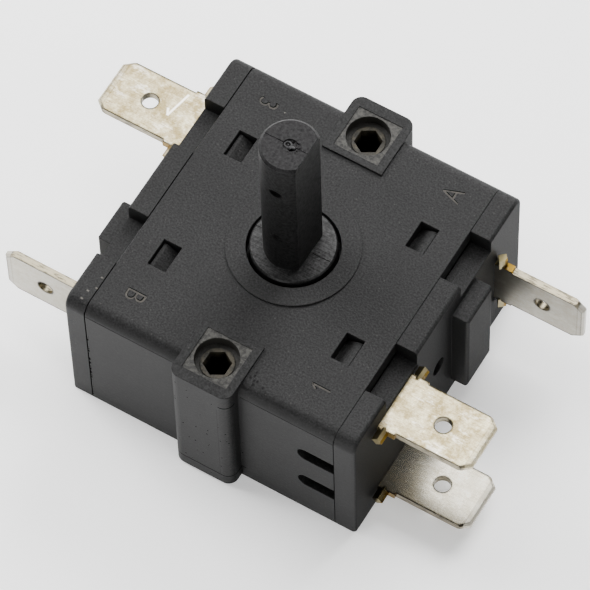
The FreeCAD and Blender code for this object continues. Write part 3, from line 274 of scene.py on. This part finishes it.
# Black nylon moulded in two halves that part along the x axis: satin shaft with dents darkened by
# painted shade and a torn mould line over its mottled end, where painted shade also darkens the dimple round
# the gate, and a disc whose tool was milled in parallel lines.
nylon = {
    "tone": "#0b0b0b", "end": "#070607", "disc": "#161616", "line": "#010101", "dust": "#6d6a63",
    "ior": 1.53, "rough": 0.45, "endRough": 0.62, "discRough": 0.36,
    "shine": 0.1, "endShine": 0.19, "discShine": (0.16, 0.24), "edgeMm": 0.08, "reliefMm": 0.02,
    "discUnder": plateTop + 2, "endOver": shaftTop - 1,
    # where most of the noise lies, and what its ends do to tone and shine
    "span": (0.35, 0.65), "blotchMm": 0.3, "blotchTone": (0.5, 1.6), "blotchShine": (0.6, 1.45),
    "millMm": 0.11, "millTurn": math.radians(52), "millStretch": (0.03, 1.0, 1.0), "millShare": 0.5,
    "drawMm": 0.3, "drawStretch": (1.0, 1.0, 0.05), "skinShare": 0.3,
    "dustDots": (1.7, 0.07, 0.2),
    # the mould line: from where to where it fades, how dark it is and how it wanders
    "hairSpan": (0.0275, 0.055), "hairDark": 0.75,
    "wander": dict(sizeMm=0.6, low=0.0, high=1.0, least=-0.15, most=0.15),
    # the torn spot on it, darkened: torn plastic, with painted shade of the dimple round the gate
    "tearShadePlace": (0.4, -0.05, shaftTop), "tearShadeSpan": (0.595, 0.85),
    "tornAndShaded": dict(sizeMm=0.4, low=0.5, high=0.56, detail=2.0),
    # dents, darkened with painted shade: height and how dark each is painted, the face they are in, half size
    # and how they fade
    "dents": [(shaftTop - 4.8, 0.9), (shaftTop - 13.2, 0.4)],
    "dentFace": -3.0, "dentHalf": (0.75, 3.0, 0.45), "dentSpan": (0.75, 1.1),
}


def shaftShadows(tree, at, hair):
    # the dark places: the mould line, the torn spot with painted shade of the dimple round the gate, and
    # painted shade in the dents
    # torn plastic, with painted shade of the dimple round the gate
    off = addNode(tree, "VectorMath", (at, nylon["tearShadePlace"]), operation="DISTANCE")
    near = addNode(tree, "MapRange", (off, *nylon["tearShadeSpan"], 1.0, 0.0))
    shadows = [allOf(tree, hair, nylon["hairDark"]), allOf(tree, near, patches(tree, at, **nylon["tornAndShaded"]))]
    # painted shade in each dent
    for z, depth in nylon["dents"]:
        moved = addNode(tree, "VectorMath", (at, (0, nylon["dentFace"], z)), operation="SUBTRACT")
        squeezed = addNode(tree, "VectorMath", (moved, nylon["dentHalf"]), operation="DIVIDE")
        away = addNode(tree, "VectorMath", [squeezed], operation="LENGTH")
        shadows.append(addNode(tree, "MapRange", (away, *nylon["dentSpan"], depth, 0.0)))
    return anyOf(tree, *shadows)


def mouldedNylon(name):
    material, surface = newMaterial(name)
    tree = material.node_tree
    at = placeMm(tree)
    up = facing(tree, "Z")
    split = addNode(tree, "SeparateXYZ", [at])
    low = addNode(tree, "Math", (split.outputs["Z"], nylon["discUnder"]), operation="LESS_THAN")
    high = addNode(tree, "Math", (split.outputs["Z"], nylon["endOver"]), operation="GREATER_THAN")
    onDisc = allOf(tree, up, low)
    onEnd = allOf(tree, up, high)
    milledAt = addNode(tree, "Mapping", {
        "Vector": at, "Rotation": (0, 0, nylon["millTurn"]), "Scale": nylon["millStretch"]})
    milled = addNode(tree, "TexNoise", {
        "Vector": milledAt, "Scale": 1 / nylon["millMm"], "Detail": 2.0, "Roughness": 0.6})
    drawnAt = addNode(tree, "Mapping", {"Vector": at, "Scale": nylon["drawStretch"]})
    drawn = addNode(tree, "TexNoise", {
        "Vector": drawnAt, "Scale": 1 / nylon["drawMm"], "Detail": 3.0, "Roughness": 0.6})
    blotch = addNode(tree, "TexNoise", {
        "Vector": at, "Scale": 1 / nylon["blotchMm"], "Detail": 5.0, "Roughness": 0.7})
    across = addNode(tree, "Math", (split.outputs["Y"], patches(tree, at, **nylon["wander"])),
                     operation="ADD")
    offLine = addNode(tree, "Math", [across], operation="ABSOLUTE")
    hair = allOf(tree, addNode(tree, "MapRange", (offLine, *nylon["hairSpan"], 1.0, 0.0)), up)
    dark = shaftShadows(tree, at, hair)
    lit = addNode(tree, "Math", (1.0, dark), operation="SUBTRACT")
    ridges = addNode(tree, "MapRange", (milled, *nylon["span"]))
    blotchTone = addNode(tree, "MapRange", (blotch, *nylon["span"], *nylon["blotchTone"]))
    colour = layOver(tree, nylon["tone"], nylon["end"], onEnd)
    colour = layOver(tree, colour, nylon["disc"], onDisc, ridges)
    colour = addNode(tree, "HueSaturation", {"Color": colour, "Value": blotchTone})
    colour = layOver(tree, colour, nylon["dust"], dots(tree, at, *nylon["dustDots"]))
    shaftGloss = addNode(tree, "MapRange", (onEnd, 0.0, 1.0, nylon["shine"], nylon["endShine"]))
    discGloss = addNode(tree, "MapRange", (milled, *nylon["span"], *nylon["discShine"]))
    gloss = addNode(tree, "Mix", {0: onDisc, 2: shaftGloss, 3: discGloss})
    blotchShine = addNode(tree, "MapRange", (blotch, *nylon["span"], *nylon["blotchShine"]))
    shaftRough = addNode(tree, "MapRange", (onEnd, 0.0, 1.0, nylon["rough"], nylon["endRough"]))
    skin = addNode(tree, "Math", (blotch, drawn), operation="ADD")
    height = addNode(tree, "Math", (allOf(tree, skin, nylon["skinShare"]),
                                    allOf(tree, milled, onDisc, nylon["millShare"])), operation="ADD")
    height = addNode(tree, "Math", (height, hair), operation="SUBTRACT")
    feed(surface, {
        "Base Color": layOver(tree, colour, nylon["line"], dark),
        "Specular IOR Level": allOf(tree, gloss, blotchShine, lit),
        "Roughness": addNode(tree, "Mix", {0: onDisc, 2: shaftRough, 3: nylon["discRough"]}),
        "Normal": relief(tree, height, nylon["reliefMm"], 1.0, nylon["edgeMm"]),
        "IOR": nylon["ior"],
    })
    return material


# Brass strip tinned before it was punched: olive-stained faces with pale smears and scratches,
# darker borders, a dull pale band pressed along the tip, and bare brass on the edges next to the
# housing. Each blade's tone is painted by how it lies in the light, darker for the lower blade and the blades
# on edge; inside the housing the blades are painted dark as shade, and painted shade runs along the crease
# where the tip is pressed.
tin = {
    "stain": "#756334", "smear": "#f4f0e6", "border": "#211d15", "side": "#958d78",
    "brass": "#7b6124", "ear": "#938863", "insideShade": "#14110b",
    "faceFrom": 0.85, "faceTo": 0.95, "reliefMm": 0.012, "edgeMm": 0.02,
    "stains": dict(sizeMm=1.6, low=0.4, high=0.6, detail=6.0, roughness=0.75), "stainedRougher": 0.2,
    "spots": dict(sizeMm=0.25, low=0.4, high=0.7, detail=4.0, roughness=0.7), "spotShown": 0.8,
    "smears": dict(sizeMm=1.1, low=0.54, high=0.62, detail=6.0, roughness=0.75),
    "smearTurn": math.radians(-65), "smearStretch": (0.45, 1.0, 1.0),
    # fine scratches in two directions, drawn thicker than real ones so that they show
    "scratchMm": 0.09, "scratchTurns": (math.radians(35), math.radians(-40)), "scratchTilt": (0.3, 0.2),
    "scratchStretch": (0.08, 1.0, 1.0), "hatchSpan": (0.56, 0.68), "hatchShown": 0.7,
    "scratchSpan": (0.3, 0.7), "scratchRough": (-0.04, 0.07),
    "streaks": dict(sizeMm=0.2, low=0.5, high=0.62, most=0.7), "streakStretch": (0.2, 1.0, 1.0),
    # borders: how wide, how far the rounded normal leans where they are clear and black, and what
    # the punched sides have of them
    "borderMm": 0.4, "leanSpan": (0.93, 0.9998), "sideBorder": 0.2,
    # how far from the middle the blade is painted dark as shade inside the housing, an ear and bare, and
    # where its tip is pressed
    "insideShadeTo": 16.2, "earTo": 17.4, "bareTo": 18.35, "tipFrom": 25.75, "tipTo": 25.85, "tipMetal": 0.4,
    # the crease where the tip is pressed: how its painted shade fades and how dark it is
    "foldSpan": (0.03, 0.1), "foldDark": 0.25,
    "bared": dict(sizeMm=0.7, low=0.3, high=0.5, least=0.3, detail=4.0),
    # a tick scratched into one blade: where each stroke starts and ends, its half width and depth
    "tick": [((-18.81, 11.04, 15.15), (-19.46, 7.96, 15.15)), ((-19.46, 7.96, 15.15), (-19.81, 8.73, 15.15))],
    "tickHalf": 0.11, "tickDepth": 0.3, "tickBlurMm": 0.06,
    # the blades: nodes, material, the axis that their faces look along, tone (painted lighter or darker by
    # how the blade lies in the light), how stained and how smeared they are, and their least roughness
    "blades": [(["terminal_1", "terminal_3"], "tinnedBrassBright", "Z", "#cbc2a4", 0.7, 0.5, 0.3),
               (["terminal_2"], "tinnedBrassTarnished", "Z", "#b9b5a8", 0.25, 0.15, 0.18),
               (["terminal_a", "terminal_b"], "tinnedBrassOnEdge", "Y", "#a8a59b", 0.2, 0.1, 0.28)],
}


def alongStroke(tree, at, start, end):
    # 1 on a straight stroke from one point to another, 0 beside it
    run = Vector(end) - Vector(start)
    middle = (Vector(start) + Vector(end)) / 2
    moved = addNode(tree, "VectorMath", (at, middle), operation="SUBTRACT")
    turned = addNode(tree, "Mapping", {
        "Vector": moved, "Rotation": (0, 0, -math.atan2(run.y, run.x))})
    return insideBox(tree, turned, (0, 0, 0), (run.length / 2, tin["tickHalf"], tin["tickDepth"]),
                     tin["tickBlurMm"])


def tinnedBrass(name, faceAxis, bright, stained, smeared, polish):
    material, surface = newMaterial(name)
    tree = material.node_tree
    at = placeMm(tree)
    flat = facing(tree, faceAxis, tin["faceFrom"], tin["faceTo"])
    punched = addNode(tree, "Math", (1.0, flat), operation="SUBTRACT")
    along = addNode(tree, "SeparateXYZ", [at]).outputs["X"]
    outward = addNode(tree, "Math", [along], operation="ABSOLUTE")
    stain = patches(tree, at, **tin["stains"])
    spot = patches(tree, at, **tin["spots"])
    smearAt = addNode(tree, "Mapping", {
        "Vector": at, "Rotation": (0, 0, tin["smearTurn"]), "Scale": tin["smearStretch"]})
    # the blade's tone, painted lighter or darker by how it lies in the light
    colour = layOver(tree, bright, tin["stain"], stain, stained)
    colour = layOver(tree, colour, tin["stain"], spot, stained * tin["spotShown"])
    colour = layOver(tree, colour, tin["smear"], patches(tree, smearAt, **tin["smears"]), smeared)
    scratches = []
    for turn in tin["scratchTurns"]:
        scratchAt = addNode(tree, "Mapping", {
            "Vector": at, "Rotation": (*tin["scratchTilt"], turn), "Scale": tin["scratchStretch"]})
        scratches.append(addNode(tree, "TexNoise", {
            "Vector": scratchAt, "Scale": 1 / tin["scratchMm"], "Detail": 2.0, "Roughness": 0.6}))
    hatch = addNode(tree, "MapRange", (anyOf(tree, *scratches), *tin["hatchSpan"]))
    colour = layOver(tree, colour, tin["stain"], hatch, stained * tin["hatchShown"])
    for start, end in tin["tick"]:
        colour = layOver(tree, colour, tin["smear"], alongStroke(tree, at, start, end))
    # punched sides, up to the pressed tip
    sheared = allOf(tree, punched, addNode(tree, "Math", (outward, tin["tipFrom"]), operation="LESS_THAN"))
    colour = layOver(tree, colour, tin["side"], sheared)
    streakAt = addNode(tree, "Mapping", {"Vector": at, "Scale": tin["streakStretch"]})
    colour = layOver(tree, colour, tin["border"], sheared, patches(tree, streakAt, **tin["streaks"]))
    # borders, found by how far a widely rounded normal leans from the face's own
    rounded = addNode(tree, "Bevel", {"Radius": tin["borderMm"] * mm}, samples=8)
    plain = addNode(tree, "NewGeometry").outputs["True Normal"]
    lean = addNode(tree, "VectorMath", (rounded, plain), operation="DOT_PRODUCT")
    colour = layOver(tree, colour, tin["border"],
                     addNode(tree, "MapRange", (lean, *tin["leanSpan"], 1.0, 0.0)),
                     addNode(tree, "MapRange", (flat, 0.0, 1.0, tin["sideBorder"], 1.0)))
    # painted shade along the crease where the tip is pressed
    fromFold = addNode(tree, "Math", (outward, tin["tipFrom"]), operation="SUBTRACT")
    offFold = addNode(tree, "Math", [fromFold], operation="ABSOLUTE")
    fold = addNode(tree, "MapRange", (offFold, *tin["foldSpan"], tin["foldDark"], 0.0))
    colour = layOver(tree, colour, tin["border"], fold)
    # bare brass beside the housing, and painted shade on what is inside it
    bare = allOf(tree, addNode(tree, "Math", (outward, tin["bareTo"]), operation="LESS_THAN"), punched,
                 patches(tree, at, **tin["bared"]))
    onEar = addNode(tree, "Math", (outward, tin["earTo"]), operation="LESS_THAN")
    colour = layOver(tree, colour, layOver(tree, tin["brass"], tin["ear"], onEar), bare)
    # painted shade: the blade inside the housing is painted dark
    insideShade = addNode(tree, "Math", (outward, tin["insideShadeTo"]), operation="LESS_THAN")
    rougher = polish + stained * tin["stainedRougher"]
    scratchRough = [share * stained for share in tin["scratchRough"]]
    rough = addNode(tree, "Math", (
        addNode(tree, "MapRange", (stain, 0.0, 1.0, polish, rougher)),
        addNode(tree, "MapRange", (scratches[0], *tin["scratchSpan"], *scratchRough))), operation="ADD")
    height = addNode(tree, "Math", (spot, scratches[0]), operation="ADD")
    feed(surface, {
        "Base Color": layOver(tree, colour, tin["insideShade"], insideShade),
        "Roughness": rough,
        "Normal": relief(tree, height, tin["reliefMm"], polish * smeared, tin["edgeMm"]),
        "Metallic": addNode(tree, "MapRange", (outward, tin["tipFrom"], tin["tipTo"], 1.0, tin["tipMetal"])),
    })
    return material


# Rolled, headed, coined and drawn metals of the hidden works, each a little uneven in gloss and tone.
metals = {
    "grainSpan": (0.3, 0.7), "roughEitherWay": 0.08, "toneEnds": (0.85, 1.1),
    # nodes, material, tone, roughness and grain in millimetres
    "pieces": [(["contact_spring_1", "contact_spring_2", "contact_spring_3"],
                "phosphorBronzeRolled", "#c98e5a", 0.35, 0.4),
               (["leaf_rivets"], "brassRivetHeaded", "#d3b064", 0.32, 0.4),
               (["moving_contact_1", "moving_contact_2", "moving_contact_3",
                 "fixed_contact_1", "fixed_contact_2", "fixed_contact_3"],
                "silverAlloyCoined", "#e3e1da", 0.28, 0.3),
               (["detent_spring_front", "detent_spring_back"], "springSteelDrawn", "#9a9a9c", 0.3, 0.2)],
}


def plainMetal(name, colour, rough, grainMm):
    material, surface = newMaterial(name)
    tree = material.node_tree
    grain = addNode(tree, "TexNoise", {
        "Vector": placeMm(tree), "Scale": 1 / grainMm, "Detail": 3.0, "Roughness": 0.6})
    ends = (rough - metals["roughEitherWay"], rough + metals["roughEitherWay"])
    uneven = addNode(tree, "MapRange", (grain, *metals["grainSpan"], *metals["toneEnds"]))
    feed(surface, {
        "Base Color": addNode(tree, "HueSaturation", {"Color": colour, "Value": uneven}),
        "Roughness": addNode(tree, "MapRange", (grain, *metals["grainSpan"], *ends)),
        "Metallic": 1.0,
    })
    return material


# Uncoloured acetal from a polished tool: milky, faintly clouded, slightly glossy.
acetal = {
    "tone": "#dcd7c8", "milk": "#e6e2d6", "rough": 0.38, "ior": 1.48,
    "clouds": dict(sizeMm=1.2, low=0.3, high=0.7),
}


def naturalAcetal(name):
    material, surface = newMaterial(name)
    tree = material.node_tree
    cloud = patches(tree, placeMm(tree), **acetal["clouds"])
    feed(surface, {
        "Base Color": layOver(tree, acetal["tone"], acetal["milk"], cloud),
        "Roughness": acetal["rough"],
        "IOR": acetal["ior"],
    })
    return material


def dress(names, material):
    for name in names:
        nodes[name].data.materials.clear()
        nodes[name].data.materials.append(material)


dress(["base"], mouldedPbt("pbtBaseMoulded", False))
dress(["cover"], mouldedPbt("pbtCoverMoulded", True))
dress(["rotor"], mouldedNylon("nylonRotorMoulded"))
for names, *finish in tin["blades"]:
    dress(names, tinnedBrass(*finish))
for names, *finish in metals["pieces"]:
    dress(names, plainMetal(*finish))
dress(["detent_plunger_front", "detent_plunger_back"], naturalAcetal("acetalMoulded"))
print("materials on", len(nodes), "nodes")


# A moulding's plastic in two tones mixed in patches: painted light and painted shade where a mark, a seam or
# a tear catches them.
paintedLightFinish = {"patches": dict(sizeMm=0.3, low=0.35, high=0.65, detail=4.0), "rough": 0.55}


def paintedLightPlastic(name, low, high, gloss):
    material, surface = newMaterial(name)
    tree = material.node_tree
    toneMix = patches(tree, placeMm(tree), **paintedLightFinish["patches"])
    feed(surface, {
        "Base Color": layOver(tree, low, high, toneMix),
        "Roughness": paintedLightFinish["rough"],
        "IOR": pbt["ior"],
        "Specular IOR Level": gloss,
    })
    return material


def settle(piece, name, material, body):
    # names a finished piece, puts its place into its mesh and lets it ride a body
    bpy.ops.object.select_all(action="DESELECT")
    piece.select_set(True)
    bpy.context.view_layer.objects.active = piece
    bpy.ops.object.transform_apply(location=True, rotation=True, scale=True)
    piece.name = name
    piece.data.name = name
    piece.data.materials.clear()
    piece.data.materials.append(material)
    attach(piece, body)


# Terminal marks, which are cut into the plate, drawn as thin layers over it beside each terminal and turned
# to be read from
# the ends: pale strokes, painted light of each groove's lit floor, each with a dark layer behind it, painted
# shade of the groove's far wall.
marks = {
    "heightMm": 2.05, "squeeze": 0.85, "curveSteps": 6,
    "capShare": 0.7,  # how much of the font's size a capital's height is
    "places": [("1", 10.39, -12.07, 90), ("A", 10.56, 12.92, 90),
               ("3", -10.67, 12.81, -90), ("B", -10.65, -12.43, -90)],
    # name, how far its outline is thinned, how high it stands, its shift over the plate, two tones (painted
    # shade for the dark layer, painted light for the pale one) and its gloss
    "layers": [("edge", 0.0, 0.01, (-0.02, 0.03), "#010101", "#040404", 0.0),
               ("litStroke", -0.045, 0.02, (0.02, -0.03), "#24221f", "#3a3732", 0.2)],
    # the flag of the 1, from its top: middle, size and turn
    "flag": ((-0.24, 0.76), (0.27, 0.8), -43),
}


def addFlag(thinner, rise):
    # joins a flag to the active mark, in the mark's own place before it is turned
    (x, y), (width, length), turn = marks["flag"]
    mark = bpy.context.object
    bpy.ops.mesh.primitive_cube_add(size=1, location=Vector((x, y, 0)) * mm,
                                    rotation=(0, 0, math.radians(turn)))
    flag = bpy.context.object
    flag.scale = Vector((width + 2 * thinner, length + 2 * thinner, 2 * rise)) * mm
    mark.select_set(True)
    bpy.context.view_layer.objects.active = mark
    bpy.ops.object.join()


def raiseMarks():
    for layer, thinner, rise, shift, low, high, gloss in marks["layers"]:
        material = paintedLightPlastic("pbtMark" + layer.capitalize(), low, high, gloss)
        for letter, x, y, turn in marks["places"]:
            bpy.ops.object.select_all(action="DESELECT")
            bpy.ops.object.text_add()
            mark = bpy.context.object
            mark.data.body = letter
            mark.data.align_x = "CENTER"
            mark.data.align_y = "CENTER"
            mark.data.size = marks["heightMm"] / marks["capShare"] * mm
            mark.data.offset = thinner * mm
            mark.data.extrude = rise * mm
            mark.data.resolution_u = marks["curveSteps"]
            bpy.ops.object.convert(target="MESH")
            mark = bpy.context.object
            if letter == "1":
                addFlag(thinner, rise)
            mark.scale = (marks["squeeze"], marks["heightMm"] * mm / mark.dimensions.y, 1)
            mark.rotation_euler = (0, 0, math.radians(turn))
            mark.location = Vector((x + shift[0], y + shift[1], plateTop)) * mm
            settle(mark, "mark_" + letter + "_" + layer, material, "housing")
    print("marks raised")


# Torn gate in the dimple of the shaft's end: a curl with a tail, below the end's face, its pale patches
# painted highlights on the curls.
gate = {
    # two tones: the dark nylon and pale patches, painted highlights on the curls
    "sinkMm": 0.11, "low": "#0c0c0c", "high": "#2c2c2e", "gloss": 0.3,
    # kind, radius, place across the end, scale
    "lumps": [("curl", 0.34, (-0.22, 0.02), (1.0, 0.9, 0.7)), ("blob", 0.2, (0.3, -0.04), (1.7, 1.1, 0.5)),
              ("blob", 0.17, (0.12, -0.22), (1.0, 0.7, 0.5)), ("blob", 0.14, (0.08, 0.26), (1.3, 0.6, 0.5)),
              ("blob", 0.1, (-0.2, 0.06), (1.2, 0.8, 0.6))],
    "curlThickMm": 0.12, "curlSteps": (28, 10), "blobSteps": (20, 12),
    # the tearing: how deep, how wide, and which level of the noise stays in place
    "tearMm": 0.12, "tearWideMm": 0.25, "tearLevel": 0.3,
}


def addGate():
    material = paintedLightPlastic("nylonGateTornHighlit", gate["low"], gate["high"], gate["gloss"])
    bpy.ops.object.select_all(action="DESELECT")
    lumps = []
    for kind, radius, (x, y), scale in gate["lumps"]:
        place = Vector((x, y, shaftTop - gate["sinkMm"])) * mm
        if kind == "curl":
            around, across = gate["curlSteps"]
            bpy.ops.mesh.primitive_torus_add(
                major_radius=radius * mm, minor_radius=gate["curlThickMm"] * mm,
                major_segments=around, minor_segments=across, location=place)
        else:
            around, rings = gate["blobSteps"]
            bpy.ops.mesh.primitive_uv_sphere_add(
                segments=around, ring_count=rings, radius=radius * mm, location=place)
        bpy.context.object.scale = scale
        lumps.append(bpy.context.object)
    for lump in lumps:
        lump.select_set(True)
    bpy.context.view_layer.objects.active = lumps[0]
    bpy.ops.object.join()
    nub = bpy.context.object
    tear = bpy.data.textures.new("gateTear", "CLOUDS")
    tear.noise_scale = gate["tearWideMm"] * mm
    tornAndShaded = nub.modifiers.new("tear", "DISPLACE")
    tornAndShaded.texture = tear
    tornAndShaded.strength = -gate["tearMm"] * mm
    tornAndShaded.mid_level = gate["tearLevel"]
    bpy.ops.object.modifier_apply(modifier="tear")
    bpy.ops.object.shade_smooth()
    settle(nub, "gate_nub", material, "rotor")
    print("gate nub in place")


# Witness of the tool's parting: a hair of flash along both side walls, where the rounding starts.
parting = {
    "heightMm": 16.4, "thickMm": 0.05, "proudMm": 0.02, "clearOfBoss": 3.65, "edgeMm": 0.01,
    "low": "#020202", "high": "#070707", "gloss": 0.05,
    # name and which way along x and y
    "corners": [("front_left", -1, -1), ("front_right", 1, -1), ("back_left", -1, 1), ("back_right", 1, 1)],
}


def addParting():
    material = paintedLightPlastic("pbtPartingFlash", parting["low"], parting["high"], parting["gloss"])
    length = halfCover - parting["clearOfBoss"]
    bpy.ops.object.select_all(action="DESELECT")
    bpy.ops.mesh.primitive_cube_add(size=1)
    hair = bpy.context.object
    hair.scale = Vector((length, 2 * parting["proudMm"], parting["thickMm"])) * mm
    bpy.ops.object.transform_apply(location=False, rotation=False, scale=True)
    bpy.ops.object.mode_set(mode="EDIT")
    bpy.ops.mesh.select_all(action="SELECT")
    bpy.ops.mesh.bevel(offset=parting["edgeMm"] * mm, segments=2, affect="EDGES")
    bpy.ops.object.mode_set(mode="OBJECT")
    hairs = [hair]
    while len(hairs) < len(parting["corners"]):
        bpy.ops.object.duplicate()
        hairs.append(bpy.context.object)
    for hair, (name, x, y) in zip(hairs, parting["corners"]):
        along = x * (parting["clearOfBoss"] + length / 2)
        hair.location = Vector((along, y * halfWidth, parting["heightMm"])) * mm
        settle(hair, "parting_" + name, material, "housing")
    print("parting lines")


raiseMarks()
addGate()
addParting()


# Camera, solved from the photograph: high over the corner between terminals B and 1.
camera = {
    "place": (138.88, -217.38, 469.51),
    "forward": (-0.2628, 0.4112, -0.8728),
    "right": (0.8594, 0.5110, -0.0180),
    "lens": 324.7, "sensor": 36, "nearest": 0.05,
}


def placeCamera():
    forward = Vector(camera["forward"]).normalized()
    right = Vector(camera["right"])
    right = (right - forward * right.dot(forward)).normalized()
    up = right.cross(forward)
    turn = Matrix((right, up, -forward)).transposed()
    bpy.ops.object.camera_add()
    eye = bpy.context.object
    eye.name = "photoCamera"
    eye.matrix_world = Matrix.Translation(Vector(camera["place"]) * mm) @ turn.to_4x4()
    eye.data.lens = camera["lens"]
    eye.data.sensor_width = camera["sensor"]
    eye.data.clip_start = camera["nearest"]
    bpy.context.scene.camera = eye


# Studio: pale glowing floor, soft boxes at the left and the back, a weaker broad one overhead, so
# that the black top shines little while the tinned blades still mirror light, a low one in front
# for the wall there, and a faint one at the right.
studio = {
    # the floor lies a hair under the housing's own flat underside
    "floor": "#f8f8f8", "floorMm": 4000, "floorDropMm": 0.05, "floorRough": 0.9, "glow": 0.3,
    "world": "#ffffff", "worldStrength": 0.05,
    # name, place in mm, size in mm, watts
    "lights": [
        ("leftBox", (-400, 20, 300), 300, 4.6),
        ("backBox", (20, 430, 340), 300, 5.2),
        ("topBox", (-100, 160, 520), 420, 2.8),
        ("frontBox", (40, -450, 90), 260, 2.2),
        ("rightBox", (430, -60, 260), 300, 1.2),
    ],
    "aim": (0, 0, 8),
}


def buildStudio():
    bpy.ops.mesh.primitive_plane_add(
        size=studio["floorMm"] * mm, location=(0, 0, -studio["floorDropMm"] * mm))
    floor = bpy.context.object
    floor.name = "floor"
    material, surface = newMaterial("floorPaper")
    feed(surface, {
        "Base Color": studio["floor"],
        "Emission Color": studio["floor"],
        "Emission Strength": studio["glow"],
        "Roughness": studio["floorRough"],
    })
    floor.data.materials.append(material)
    for name, place, width, watts in studio["lights"]:
        bpy.ops.object.light_add(type="AREA", location=Vector(place) * mm)
        box = bpy.context.object
        box.name = name
        box.data.size = width * mm
        box.data.energy = watts
        aim = Vector(studio["aim"]) - Vector(place)
        box.rotation_euler = aim.to_track_quat("-Z", "Y").to_euler()
    world = bpy.data.worlds.new("paleSurround")
    world.use_nodes = True
    feed(world.node_tree.nodes["Background"], {
        "Color": studio["world"], "Strength": studio["worldStrength"]})
    bpy.context.scene.world = world


placeCamera()
buildStudio()
print("camera and studio")
